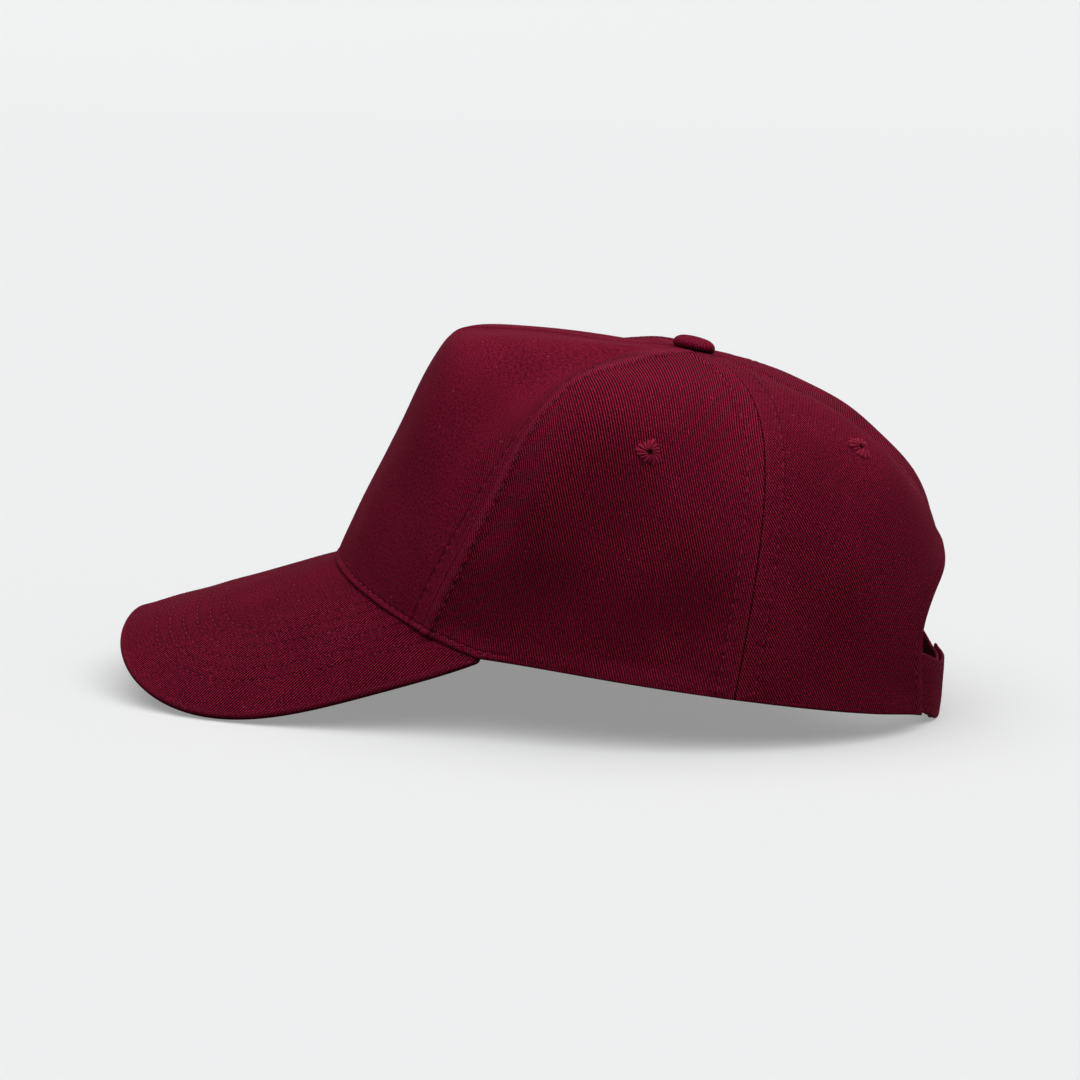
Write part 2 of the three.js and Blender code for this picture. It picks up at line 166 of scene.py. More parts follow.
def rimFoot(azimuth):
    x, y = rimPlan(azimuth)
    side = unsided(azimuth)
    behind = rimLift * np.maximum(rimShare(side), 0)
    z = np.where(side < peak["endAzimuth"], peakTop(x, y) + crown["gap"], behind)
    return np.stack([x, y, z], axis=-1)


apex = np.array([crown["apexSetback"], 0.0, crown["apexHeight"]])


# A meridian is the conic (foot (1-t)^2 + corner 2t(1-t)w + apex t^2) / (sum of the weights)
def meridian(azimuth, t):
    side = unsided(azimuth)
    foot = rimFoot(azimuth)
    corner = foot + (apex - foot) * inward(side)[..., None]
    corner[..., 2] = foot[..., 2] + (apex[2] - foot[..., 2]) * upward(side)
    a = (1 - t) ** 2
    b = 2 * t * (1 - t) * fullness(side)
    c = t ** 2
    blend = foot * a[..., None] + corner * b[..., None] + apex * c[..., None]
    return blend / (a + b + c)[..., None]


tableAzimuth = np.linspace(0, 180, 361)
tableShare = np.linspace(0, 1, 401)
fineT = np.linspace(0, 1, 1201)
tableRuns = lengths(meridian(tableAzimuth[:, None] + 0 * fineT, fineT + 0 * tableAzimuth[:, None]))
tableLength = tableRuns[:, -1]
tableT = np.stack([np.interp(tableShare * run[-1], run, fineT) for run in tableRuns])


def clothLength(azimuth):  # from the lower edge to the apex
    return np.interp(unsided(azimuth), tableAzimuth, tableLength)


def tableLookUp(azimuth, share):  # t for a share of the length, between the table's rows
    i = unsided(azimuth) / tableAzimuth[1]
    j = np.clip(share, 0, 1) / tableShare[1]
    i0 = np.clip(i.astype(int), 0, len(tableAzimuth) - 2)
    j0 = np.clip(j.astype(int), 0, len(tableShare) - 2)
    p = i - i0
    q = j - j0
    low = tableT[i0, j0] * (1 - q) + tableT[i0, j0 + 1] * q
    high = tableT[i0 + 1, j0] * (1 - q) + tableT[i0 + 1, j0 + 1] * q
    return low * (1 - p) + high * p


# Outer face of the crown, by azimuth and by share of the way up the cloth, with the stiff
# front's slight swell sin^2 over its lowest part
def crownPoint(azimuth, share):
    azimuth, share = np.broadcast_arrays(np.asarray(azimuth, float), np.asarray(share, float))
    point = meridian(azimuth, tableLookUp(azimuth, share))
    turn = np.radians(azimuth)
    rise = np.minimum(share * clothLength(azimuth) / crown["swellRise"], 1)
    swell = crown["swell"] * np.sin(np.pi * rise) ** 2 * np.maximum(np.cos(turn), 0) ** 4
    point[..., 0] -= swell * np.cos(turn)
    point[..., 1] -= swell * np.sin(turn)
    around = bell(unsided(azimuth) - sunk["azimuth"], sunk["around"])
    point[..., 2] -= sunk["depth"] * around * bell(share - sunk["share"], sunk["spread"])
    return point


def crownNormal(azimuth, share):  # slope along crossed with slope up
    azimuth, share = np.broadcast_arrays(np.asarray(azimuth, float), np.asarray(share, float))
    turn = 0.4
    climb = 0.008
    low = np.clip(share - climb, 0, 1 - 3 * climb)
    along = crownPoint(azimuth + turn, share) - crownPoint(azimuth - turn, share)
    up = crownPoint(azimuth, low + 2 * climb) - crownPoint(azimuth, low)
    return unit(np.cross(along, up))


def perDegree(azimuth, share):  # millimetres along the cloth for a degree of azimuth
    turn = 0.5
    step = crownPoint(azimuth + turn, share) - crownPoint(azimuth - turn, share)
    return np.linalg.norm(step, axis=-1)


# Gentle unevenness of handled cloth: a seeded sum of long sine waves over the cloth's own u and v
def unevenness(u, v, wave, seed):
    rng = np.random.default_rng(seed)
    total = 0 * u
    count = 12
    for k in range(count):
        heading = rng.uniform(0, 2 * np.pi)
        length = wave * rng.uniform(0.7, 1.7)
        phase = rng.uniform(0, 2 * np.pi)
        total = total + np.sin((u * np.cos(heading) + v * np.sin(heading)) * 2 * np.pi / length + phase)
    return total / np.sqrt(count / 2)


# Roundness of a folded edge, a quarter circle: 0 at the edge, 1 once a radius away
def fold(distance, radius):
    return np.sqrt(np.clip(1 - (1 - np.minimum(distance / radius, 1)) ** 2, 0, 1))


print("crown surface tabled")


# Meshes

def buildMesh(name, points, faces, material, uv=None, attributes=None, stands=()):
    mesh = bpy.data.meshes.new(name)
    place = (points.reshape(-1, 3) + frameShift) * 0.001
    mesh.from_pydata(place.tolist(), [], faces)
    mesh.polygons.foreach_set("use_smooth", np.ones(len(mesh.polygons), dtype=bool))
    if uv is not None:
        corners = np.empty(len(mesh.loops), dtype=np.int32)
        mesh.loops.foreach_get("vertex_index", corners)
        layer = mesh.uv_layers.new(name="cloth")
        layer.data.foreach_set("uv", uv.reshape(-1, 2)[corners].astype(np.float32).ravel())
    for key, values in (attributes or {}).items():
        layer = mesh.attributes.new(key, "FLOAT", "POINT")
        layer.data.foreach_set("value", values.astype(np.float32).ravel())
    mesh.materials.append(material)
    mesh.update()
    piece = bpy.data.objects.new(name, mesh)
    bpy.context.scene.collection.objects.link(piece)
    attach(piece, "root")
    if stands:
        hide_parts(*stands)
    return piece


def gridFaces(index, flip=False):  # quads between the vertices that a grid of numbers names
    quads = np.stack([index[:-1, :-1], index[:-1, 1:], index[1:, 1:], index[1:, :-1]], axis=-1)
    quads = quads[..., ::-1] if flip else quads
    return quads.reshape(-1, 4)


# Vertex numbers of a grid whose rows go all the way round, so that its first row comes again
# last. Where its columns do so too, as in a ring, its first column also comes again last.
def wrapped(count, width, closed):
    index = np.arange(count * width).reshape(count, width)
    index = np.concatenate([index, index[:1]])
    return np.concatenate([index, index[:, :1]], axis=1) if closed else index


# A closed sheet of cloth on one grid. Its two faces stand half the wall times the fold's
# roundness either side of the middle, and share the vertices of the border. Cells that are cut
# out get a wall round them.
def buildSheet(
    name, outer, normal, wall, roundness, material, uv, shade, relief=0, cut=None, stands=(),
):
    rows, columns = outer.shape[:2]
    middle = outer - normal * (wall / 2)
    half = (wall / 2) * roundness
    face = middle + normal * (half + relief * np.minimum(roundness * 1.5, 1))[..., None]
    back = middle - normal * half[..., None]
    index = np.arange(rows * columns).reshape(rows, columns)
    hidden = index.copy()
    hidden[1:-1, 1:-1] = rows * columns + np.arange((rows - 2) * (columns - 2)).reshape(rows - 2, -1)
    points = np.concatenate([face.reshape(-1, 3), back[1:-1, 1:-1].reshape(-1, 3)])
    spread = np.concatenate([uv.reshape(-1, 2), uv[1:-1, 1:-1].reshape(-1, 2)])
    unshaded = np.zeros((rows - 2) * (columns - 2))
    values = {key: np.append(value.ravel(), unshaded) for key, value in shade.items()}
    front = gridFaces(index).reshape(rows - 1, columns - 1, 4)
    rear = gridFaces(hidden, flip=True).reshape(rows - 1, columns - 1, 4)
    if cut is None:
        cut = np.zeros((rows - 1, columns - 1), dtype=bool)
    faces = [front[~cut], rear[~cut]]
    r, c = np.nonzero(cut[:, 1:] != cut[:, :-1])  # a cut cell beside a kept one
    faces.append(cutWall(index, hidden, (r, c + 1), (r + 1, c + 1), cut[r, c]))
    r, c = np.nonzero(cut[1:] != cut[:-1])  # and one above or below it
    faces.append(cutWall(index, hidden, (r + 1, c + 1), (r + 1, c), cut[r, c]))
    faces = np.concatenate(faces).tolist()
    return buildMesh(name, points, faces, material, spread, values, stands)


def cutWall(index, hidden, start, end, turned):  # quads through the cloth, some of them flipped
    quads = np.stack([index[start], index[end], hidden[end], hidden[start]], -1)
    quads[turned] = quads[turned][:, ::-1]
    return quads


# Stitches: short spindles laid along a path, flatter than they are wide, their ends dipping into
# the cloth. Each is three rings of six round the path's direction, and two tips.
stitchSize = {"pitch": 3.3, "length": 2.2, "width": 0.44, "height": 0.30}
stitchShape = {
    "along": [-0.8, 0.0, 0.8], "girth": [0.78, 1.0, 0.78], "dip": [-0.35, 0.25, -0.35],
    "tipDip": 0.6, "sides": 6, "wander": 0.06, "slant": 0.12,
}


def layStitches(path, normal, lift, seed, start=0.5, **changes):
    size = {**stitchSize, **changes}
    pitch, length, width, height = (size[key] for key in ("pitch", "length", "width", "height"))
    path = path + normal * lift
    run = lengths(path)
    count = int((run[-1] - pitch) / pitch)
    rng = np.random.default_rng(seed)
    wander = rng.uniform(-stitchShape["wander"], stitchShape["wander"], count)
    at = (np.arange(count) + start) * pitch + wander * pitch

    def along(place, values):
        return np.stack([np.interp(place, run, values[:, k]) for k in range(3)], -1)

    centre = along(at, path)
    up = unit(along(at, normal))
    tangent = unit(along(at + length / 3, path) - along(at - length / 3, path))
    side = unit(np.cross(up, tangent))
    slant = rng.uniform(-stitchShape["slant"], stitchShape["slant"], count)
    side = unit(side + tangent * slant[:, None])
    tangent = np.cross(side, up)
    turn = np.arange(stitchShape["sides"]) * 2 * np.pi / stitchShape["sides"]
    rings = []
    for s, girth, dip in zip(stitchShape["along"], stitchShape["girth"], stitchShape["dip"]):
        rings.append(np.stack([
            np.full_like(turn, s * length / 2),
            np.cos(turn) * girth * width / 2,
            np.sin(turn) * girth * height / 2 + dip * height,
        ], -1))
    tipDip = -stitchShape["tipDip"] * height
    local = np.concatenate(rings + [[[-length / 2, 0, tipDip], [length / 2, 0, tipDip]]])
    axes = np.stack([tangent, side, up], axis=1)
    points = centre[:, None] + np.einsum("kj,njc->nkc", local, axes)
    n = stitchShape["sides"]
    k = np.arange(n)
    after = (k + 1) % n
    quads = np.concatenate([
        np.stack([k + r * n, after + r * n, after + (r + 1) * n, k + (r + 1) * n], -1) for r in range(2)
    ])
    caps = np.concatenate([
        np.stack([after, k, np.full(n, 3 * n)], -1),
        np.stack([k + 2 * n, after + 2 * n, np.full(n, 3 * n + 1)], -1),
    ])
    step = len(local) * np.arange(count)[:, None, None]
    return points.reshape(-1, 3), (quads + step).reshape(-1, 4), (caps + step).reshape(-1, 3)


def buildStitches(name, runs, material):
    points = []
    faces = []
    base = 0
    for corners, quads, caps in runs:
        points.append(corners)
        faces += (quads + base).tolist() + (caps + base).tolist()
        base += len(corners)
    return buildMesh(name, np.concatenate(points), faces, material)


# Materials

def link(material, source, target):
    material.node_tree.links.new(source, target)


def setInputs(node, **values):  # with underscores for the spaces in their names
    for key, value in values.items():
        node.inputs[key.replace("_", " ")].default_value = value


def addNode(material, kind, **settings):
    node = material.node_tree.nodes.new(kind)
    for key, value in settings.items():
        if hasattr(node, key):
            setattr(node, key, value)
        else:
            setInputs(node, **{key: value})
    return node


def newMaterial(name):
    material = bpy.data.materials.new(name)
    material.use_nodes = True
    return material, material.node_tree.nodes["Principled BSDF"]


def attributeOf(material, name):
    return addNode(material, "ShaderNodeAttribute", attribute_name=name).outputs["Fac"]


def addBump(material, shader, height, strength, distance):
    bump = addNode(material, "ShaderNodeBump", Strength=strength, Distance=distance)
    link(material, height, bump.inputs["Height"])
    link(material, bump.outputs["Normal"], shader.inputs["Normal"])


def maths(material, operation, *values, clamp=False):
    node = addNode(material, "ShaderNodeMath", operation=operation, use_clamp=clamp)
    for socket, value in zip(node.inputs, values):
        if isinstance(value, (int, float)):
            socket.default_value = value
        else:
            link(material, value, socket)
    return node.outputs[0]


def ramp(material, factor, stops):  # stops of (place, colour or grey)
    node = addNode(material, "ShaderNodeValToRGB")
    elements = node.color_ramp.elements
    while len(elements) < len(stops):
        elements.new(0.5)
    for element, (place, colour) in zip(elements, stops):
        element.position = place
        grey = isinstance(colour, (int, float))
        element.color = (colour, colour, colour, 1) if grey else (*colour, 1)
    link(material, factor, node.inputs["Fac"])
    return node.outputs["Color"]


def mixColours(material, blend, factor, a, b):
    node = addNode(material, "ShaderNodeMix", data_type="RGBA", blend_type=blend, clamp_result=False)
    for socket, value in ((node.inputs[0], factor), (node.inputs[6], a), (node.inputs[7], b)):
        if isinstance(value, (int, float)):
            socket.default_value = value
        elif isinstance(value, tuple):
            socket.default_value = (*value, 1)
        else:
            link(material, value, socket)
    return node.outputs[2]


# Burgundy twill. Its ribs are sine bands over the cloth's own u and v in millimetres, broken
# into beads by finer bands across them, over mottled dye, fine fluff and a few pale flecks.
twillLook = {
    "dark": (0.032, 0.0009, 0.0040), "light": (0.360, 0.0142, 0.0530),
    "ribPitch": 0.81, "beadPitch": 0.62, "beadShare": 0.32, "plainHeight": 0.52,
    "mottle": [(0.30, 0.30), (0.70, 1.62)], "patches": [(0.3, 0.88), (0.7, 1.10)],
    # tints for wear with a painted highlight, and for painted shade
    "wearAndHighlightTint": (0.12, 0.010, 0.028), "paintedShadeTint": (0.010, 0.0006, 0.0018),
    "fleckTint": (0.42, 0.11, 0.16), "fleckSize": 0.055, "flecks": 0.7,
    "bump": 0.6, "bumpDepth": 0.00022, "roughness": 0.92,
    "sheen": 0.03, "sheenTint": (0.95, 0.12, 0.26),
}


def makeTwill(name, heading, **changes):
    look = {**twillLook, **changes}
    material, shader = newMaterial(name)
    cloth = addNode(material, "ShaderNodeUVMap", uv_map="cloth")
    spin = addNode(material, "ShaderNodeMapping")
    spin.inputs["Rotation"].default_value = (0, 0, math.radians(-heading))  # ribs along the new x
    link(material, cloth.outputs["UV"], spin.inputs["Vector"])
    period = 2 * math.pi / 20  # a wave texture's band at scale 1
    ribs = addNode(
        material, "ShaderNodeTexWave", bands_direction="Y", Scale=period / look["ribPitch"],
        Distortion=0.55, Detail=1.0, Detail_Scale=0.9,
    )
    beads = addNode(
        material, "ShaderNodeTexWave", bands_direction="DIAGONAL", Scale=period / look["beadPitch"],
        Distortion=1.6, Detail=1.0, Detail_Scale=1.3,
    )
    fluff = addNode(material, "ShaderNodeTexNoise", Scale=1.3, Detail=3.0, Roughness=0.7)
    dye = addNode(material, "ShaderNodeTexNoise", Scale=0.045, Detail=4.0, Roughness=0.6)
    flecks = addNode(material, "ShaderNodeTexVoronoi", feature="F1", Scale=0.24, Randomness=1.0)
    for node in (ribs, beads):
        link(material, spin.outputs["Vector"], node.inputs["Vector"])
    for node in (fluff, dye, flecks):
        link(material, cloth.outputs["UV"], node.inputs["Vector"])

    # Height of the weave, which evens out where the attribute "plain" is 1
    beadShare = look["beadShare"]
    beaded = maths(material, "MULTIPLY_ADD", beads.outputs["Fac"], beadShare, 1 - beadShare)
    woven = maths(material, "MULTIPLY", ribs.outputs["Fac"], beaded)
    short = maths(material, "SUBTRACT", look["plainHeight"], woven)
    evened = maths(material, "MULTIPLY", attributeOf(material, "plain"), short)
    height = maths(material, "ADD", woven, evened)

    # Colour: the ribs, the mottle and patches of dye, then edges lightened by wear and a painted
    # highlight, painted shade in creases and stitch rows, and flecks
    tone = ramp(material, height, [(0.0, look["dark"]), (0.30, look["dark"]), (0.85, look["light"])])
    for noise, stops in ((fluff, look["mottle"]), (dye, look["patches"])):
        tone = mixColours(material, "MULTIPLY", 1.0, tone, ramp(material, noise.outputs["Fac"], stops))
    # lighter where the attribute says: wear plus a painted highlight on raised edges and bands
    worn = maths(material, "MULTIPLY", attributeOf(material, "wearAndHighlight"), 0.5)
    tone = mixColours(material, "ADD", worn, tone, look["wearAndHighlightTint"])
    # painted shade in creases and stitch rows, deepest in the weave's low parts
    deep = maths(material, "SUBTRACT", 1.35, height)
    valley = maths(material, "MULTIPLY", attributeOf(material, "paintedShade"), deep, clamp=True)
    tone = mixColours(material, "MIX", valley, tone, look["paintedShadeTint"])
    near = maths(material, "LESS_THAN", flecks.outputs["Distance"], look["fleckSize"])
    draw = addNode(material, "ShaderNodeSeparateColor")  # one random number for each cell
    link(material, flecks.outputs["Color"], draw.inputs[0])
    spot = maths(material, "MULTIPLY", near, maths(material, "LESS_THAN", draw.outputs[0], look["flecks"]))
    tone = mixColours(material, "MIX", maths(material, "MULTIPLY", spot, 0.45), tone, look["fleckTint"])
    link(material, tone, shader.inputs["Base Color"])
    fuzz = maths(material, "MULTIPLY", fluff.outputs["Fac"], 0.35)
    lift = maths(material, "ADD", height, fuzz)
    addBump(material, shader, lift, look["bump"], look["bumpDepth"])
    setInputs(
        shader, Roughness=look["roughness"], Specular_IOR_Level=0.03, Sheen_Weight=look["sheen"],
        Sheen_Roughness=0.42, Sheen_Tint=(*look["sheenTint"], 1),
    )
    return material


# Matching thread, a little brighter than the cloth, with fine streaks of its own
def makeThread(name, dark, light):
    material, shader = newMaterial(name)
    place = addNode(material, "ShaderNodeTexCoord")
    streaks = addNode(material, "ShaderNodeTexNoise", Scale=1700.0, Detail=3.0, Roughness=0.6)
    link(material, place.outputs["Object"], streaks.inputs["Vector"])
    tone = ramp(material, streaks.outputs["Fac"], [(0.32, dark), (0.68, light)])
    # painted shade in the gaps between threads and in the bore, where the attribute says
    gap = maths(material, "MULTIPLY", attributeOf(material, "paintedShade"), 0.85)
    tone = mixColours(material, "MIX", gap, tone, (0.012, 0.0006, 0.002))
    link(material, tone, shader.inputs["Base Color"])
    addBump(material, shader, streaks.outputs["Fac"], 0.5, 0.0001)
    setInputs(
        shader, Roughness=0.75, Specular_IOR_Level=0.08, Sheen_Weight=0.05,
        Sheen_Roughness=0.35, Sheen_Tint=(0.95, 0.25, 0.38, 1),
    )
    return material


# Rib headings are degrees up from the cloth's u, which runs to the right as seen from outside
frontTwill = makeTwill("front twill", 150, bump=0.4)
sideTwill = makeTwill("side twill", 105.5)
backTwill = makeTwill("back twill", 119)
# the peak's cloth in darker tones: partly its own dye, partly painted shade to keep it from coming out
# brighter than the crown
peakTwill = makeTwill(
    "peak twill", 40, ribPitch=0.93, bump=0.8,
    dark=(0.022, 0.0007, 0.0028), light=(0.315, 0.0115, 0.0450),
)
strapTwill = makeTwill("strap twill", 32)
buttonTwill = makeTwill(
    "button twill", 132, dark=(0.085, 0.0026, 0.0110), light=(0.290, 0.0110, 0.0420),
)
bandTwill = makeTwill("band twill", 90, ribPitch=0.8)
threadMaterial = makeThread("matching thread", (0.12, 0.0050, 0.0180), (0.34, 0.0180, 0.0620))
ringThread = makeThread("ring thread", (0.17, 0.0056, 0.0210), (0.42, 0.0180, 0.0640))
peakThread = makeThread("peak thread", (0.12, 0.0045, 0.0165), (0.34, 0.0150, 0.0520))
print("materials made")


# Panels

panelMesh = {
    "edgeSteps": np.array([0, 0.05, 0.17, 0.36, 0.6, 0.9]), "edgeZone": 9.0, "edgeStep": 0.42,
    "footZone": 4.2, "footStep": 0.36, "rowStep": 1.1, "upperStep": 1.15, "archRows": 40,
    "middleStep": 1.25,
}
seamLook = {
    "gap": 0.12, "fold": 0.34, "flatTop": (3, 26), "rowDepth": 0.36, "rowWidth": 0.5,
    "allowancePast": 2.6, "pucker": 0.10, "puckerReach": 2.6, "longPitch": 6.4, "shortPitch": 3.7,
}
bandLook = {"width": 2.3, "bulge": 0.38, "groove": 0.32, "end": 71.0}
hemLook = {"row": 4.0, "lift": 0.25, "flare": 1.0, "depth": 0.35}  # flared at the opening's top

# Distances along the row ahead of and behind each seam at which its stitches run
rowPlaces = {"frontAhead": 5.0, "frontBehind": 3.8, "rearAhead": 5.9, "rearBehind": 5.9, "centre": 5.0}

backLength = float(clothLength(np.array(180.0)))
springShare = opening["spring"] / backLength
openingShare = opening["height"] / backLength


# Half the opening as an angle: easing out by a sine up to the spring, then a rounded arch
# (1 - climb^n)^(1/n)
def openingHalfAngle(share):
    foot, spring = (
        np.degrees(np.arcsin(opening[key] / crown["halfWidth"])) for key in ("footHalfWidth", "halfWidth")
    )
    rise = np.sin(np.clip(share / springShare, 0, 1) * np.pi / 2)
    climb = np.clip((share - springShare) / (openingShare - springShare), 0, 1)
    arch = spring * (1 - climb ** opening["roundness"]) ** (1 / opening["roundness"])
    return np.where(share <= springShare, foot + (spring - foot) * rise, arch)


def archShare(turns):  # shares of the way up for even turns of the arch
    return springShare + (openingShare - springShare) * np.sin(turns) ** (2 / opening["roundness"])


def seamAt(seam, share):
    return seam["foot"] + (seam["top"] - seam["foot"]) * share


def frontEdge(share):
    return seamAt(frontSeam, share)


def rearEdge(share):
    return seamAt(rearSeam, share)


def openEdge(share):
    return 180 - openingHalfAngle(share)


def evenly(start, stop, step):
    return np.linspace(start, stop, max(int(np.ceil((stop - start) / step)), 1) + 1)


# Places from 0 to a length: at given distances from both its ends, then evenly between
def graded(length, near, step):
    near = np.array(near)
    return np.concatenate([near, evenly(near[-1], length - near[-1], step)[1:-1], length - near[::-1]])


# Shares of the way up at which a panel has a row: close at the lower edge and round the arch
def panelRows(arched):
    edge = panelMesh["edgeSteps"]
    low = np.append(edge, evenly(edge[-1], panelMesh["footZone"], panelMesh["footStep"])[1:]) / backLength
    top = 1 - edge[::-1] / backLength
    upperStep = panelMesh["upperStep"] / backLength
    if not arched:
        return np.concatenate([low, evenly(low[-1], top[0], upperStep)[1:], top[1:]])
    lower = evenly(low[-1], springShare, panelMesh["rowStep"] / backLength)[1:]
    arch = archShare(np.linspace(0, np.pi / 2, panelMesh["archRows"] + 1)[1:])
    upper = evenly(arch[-1], top[0], upperStep)[1:]
    return np.concatenate([low, lower, arch, upper, top[1:]])


# Azimuths of the columns: at set distances from each edge, then evenly between
def panelColumns(share, start, end):
    edge = panelMesh["edgeSteps"]
    near = np.append(edge, evenly(edge[-1], panelMesh["edgeZone"], panelMesh["edgeStep"])[1:])
    scaleStart = perDegree(start, share)
    scaleEnd = perDegree(end, share)
    width = (end - start) * (scaleStart + scaleEnd) / 2
    squeeze = np.minimum(1, 0.32 * width / panelMesh["edgeZone"])[:, None]
    half = seamLook["gap"] / 2
    first = start[:, None] + (half + near * squeeze) / scaleStart[:, None]
    last = end[:, None] - (half + near[::-1] * squeeze) / scaleEnd[:, None]
    count = int(width.max() / panelMesh["middleStep"])
    part = np.linspace(0, 1, count + 1)[1:-1]
    between = first[:, -1:] + (last[:, :1] - first[:, -1:]) * part
    return np.concatenate([first, between, last], axis=1)


# Run along each row from the datum meridian, which may lie beyond the row's end
def runFrom(datum, azimuth, reach, run):
    inside = np.clip(datum, azimuth[:, 0], azimuth[:, -1])
    past = (datum - inside) * perDegree((datum + inside) / 2, reach[:, 0])
    before = np.array([np.interp(a, row, along) for a, row, along in zip(inside, azimuth, run)])
    return run - before[:, None] - past[:, None]


# The cloth laid out flat: a row of length u turns by angle t as its meridians draw together, so
# its end lies at u sin(t) / t along and v + u (1 - cos(t)) / t up
def layFlat(datum, azimuth, reach, u, v):
    nudge = 0.012
    low = np.maximum(reach - nudge, 0)
    high = np.minimum(reach + nudge, 0.99)
    wide = runFrom(datum, azimuth, low, lengths(crownPoint(azimuth, low)))
    narrow = runFrom(datum, azimuth, high, lengths(crownPoint(azimuth, high)))
    turn = (wide - narrow) / ((high - low) * clothLength(azimuth))
    sag = u * np.sinc(turn / 2 / np.pi) * np.sin(turn / 2)
    return np.stack([u * np.sinc(turn / np.pi), v + sag], -1)


# Everything that a panel's relief and pattern need, on its grid
def panelGrid(left, right, datum, arched=False):
    share = panelRows(arched)
    start = left(share)
    end = right(share)
    azimuth = panelColumns(share * (1 - crown["topHole"] / backLength), start, end)
    reach = share[:, None] * (1 - crown["topHole"] / clothLength(azimuth))
    point = crownPoint(azimuth, reach)
    normal = crownNormal(azimuth, reach)
    run = lengths(point)
    u = runFrom(datum, azimuth, reach, run)
    v = reach * clothLength(azimuth)
    return {
        "azimuth": azimuth, "reach": reach, "point": point, "normal": normal,
        "u": u, "v": v, "dLeft": run, "dRight": run[:, -1:] - run,
        "dTop": (clothLength(azimuth) - crown["topHole"]) - v,
        "cloth": layFlat(datum, azimuth, reach, u, v),
    }


# Nearest distance in space from grid points to a line of points
def distanceTo(points, line):
    flat = points.reshape(-1, 3)
    best = np.full(len(flat), 1e9)
    for part in np.array_split(line, max(len(line) // 40, 1)):
        gaps = np.linalg.norm(flat[:, None] - part[None], axis=-1).min(axis=1)
        best = np.minimum(best, gaps)
    return best.reshape(points.shape[:-1])


# The opening's edge, set back from it by an offset at right angles over the cloth
def openingLine(offset):
    low = np.linspace(0, springShare, 53)
    share = np.append(low, archShare(np.linspace(0, np.pi / 2, 160)[1:]))
    reach = share * (1 - crown["topHole"] / backLength)
    azimuth = openEdge(share)
    scale = perDegree(azimuth, reach)
    across = (180 - azimuth) * scale
    up = reach * clothLength(azimuth)
    run = lengths(np.stack([across, up], -1))
    slopeAcross = np.gradient(across, run + 1e-6 * np.arange(len(run)))
    slopeUp = np.gradient(up, run + 1e-6 * np.arange(len(run)))
    size = np.hypot(slopeAcross, slopeUp)
    across = across + offset * slopeUp / size
    up = up - offset * slopeAcross / size
    keep = across > 0.4
    azimuth = 180 - across[keep] / scale[keep]
    return azimuth, up[keep] / clothLength(azimuth)


# Relief of one seam's side: the cloth stands on the turned-in allowance, is drawn down along the
# row of stitches and puckers a little beside it
def seamRelief(distance, grid, row, seed, allowance=0.3):
    v = grid["v"]
    settled = ease(grid["dTop"], *seamLook["flatTop"])  # flat under the button
    raised = allowance * (1 - ease(distance, row + 0.2, row + seamLook["allowancePast"]))
    drawn = seamLook["rowDepth"] * bell(distance - row, seamLook["rowWidth"])
    long = np.sin(v * 2 * np.pi / seamLook["longPitch"] + 1.3 * np.sin(v / 11 + seed))
    short = np.sin(v * 2 * np.pi / seamLook["shortPitch"] + seed)
    pucker = seamLook["pucker"] * bell(distance - row, seamLook["puckerReach"])
    return settled * (raised - drawn + pucker * (long + 0.6 * short))


# The rolled band over the peak: a half-round bulge below a drawn-in row of stitches
def bandRelief(azimuth, v):
    there = 1 - ease(unsided(azimuth), bandLook["end"] - 3, bandLook["end"] + 1)
    roll = np.sin(np.pi * np.clip(v / bandLook["width"], 0, 1)) ** 0.8
    drawn = bell(v - bandLook["width"], 0.5)
    return there * (bandLook["bulge"] * roll - bandLook["groove"] * drawn)


# The dart at the front's top: a narrow pinched valley between two soft ridges, with painted shade down the
# valley
dartLook = {
    "start": 0.44, "full": 0.55, "valley": 1.15, "width": 1.1,
    "ridge": 0.3, "ridgeAt": 3.2, "ridgeWidth": 2.0, "paintedShade": 0.85, "paintedShadeWidth": 1.2,
}


def dartRelief(y, share):
    there = ease(share, dartLook["start"], dartLook["full"])
    valley = dartLook["valley"] * bell(y, dartLook["width"])
    ridge = dartLook["ridge"] * bell(np.abs(y) - dartLook["ridgeAt"], dartLook["ridgeWidth"])
    return there * (ridge - valley)


# Places of the air holes as (position, outward direction)
def holeFrame(row, hand):
    azimuth = np.array(hand * row["azimuth"])
    share = np.array(row["share"])
    return crownPoint(azimuth, share), crownNormal(azimuth, share)


holeLook = {"cut": 1.75, "dimple": 0.35, "dimpleWidth": 5.5}
holeLift = {}  # how far the dressed cloth stands out at each hole


def finishPanel(name, grid, relief, shade, wall, material, hand=None, hole=None, stands=()):
    roundness = fold(grid["v"], wall / 2) * fold(grid["dTop"], wall / 2)
    for distance in (grid["dLeft"], grid["dRight"]):
        roundness = roundness * fold(distance, seamLook["fold"])
    cut = None
    if hole is not None:
        centre, out = holeFrame(hole, hand)
        offset = grid["point"] - centre
        away = np.linalg.norm(offset - (offset @ out)[..., None] * out, axis=-1)
        relief = relief - holeLook["dimple"] * bell(away, holeLook["dimpleWidth"])
        holeLift[hole["name"], hand] = float(relief.flat[away.argmin()])
        cells = (away[:-1, :-1] + away[1:, 1:] + away[:-1, 1:] + away[1:, :-1]) / 4
        cut = cells < holeLook["cut"]
    over = (unsided(grid["azimuth"]) < peak["endAzimuth"] + peak["runOut"]) & (grid["v"] < 4)
    normal = levelNormals(grid, over)
    piece = buildSheet(
        name, grid["point"], normal, wall, roundness, material, grid["cloth"], shade,
        relief, cut, stands,
    )
    print(name, len(piece.data.polygons), "faces")


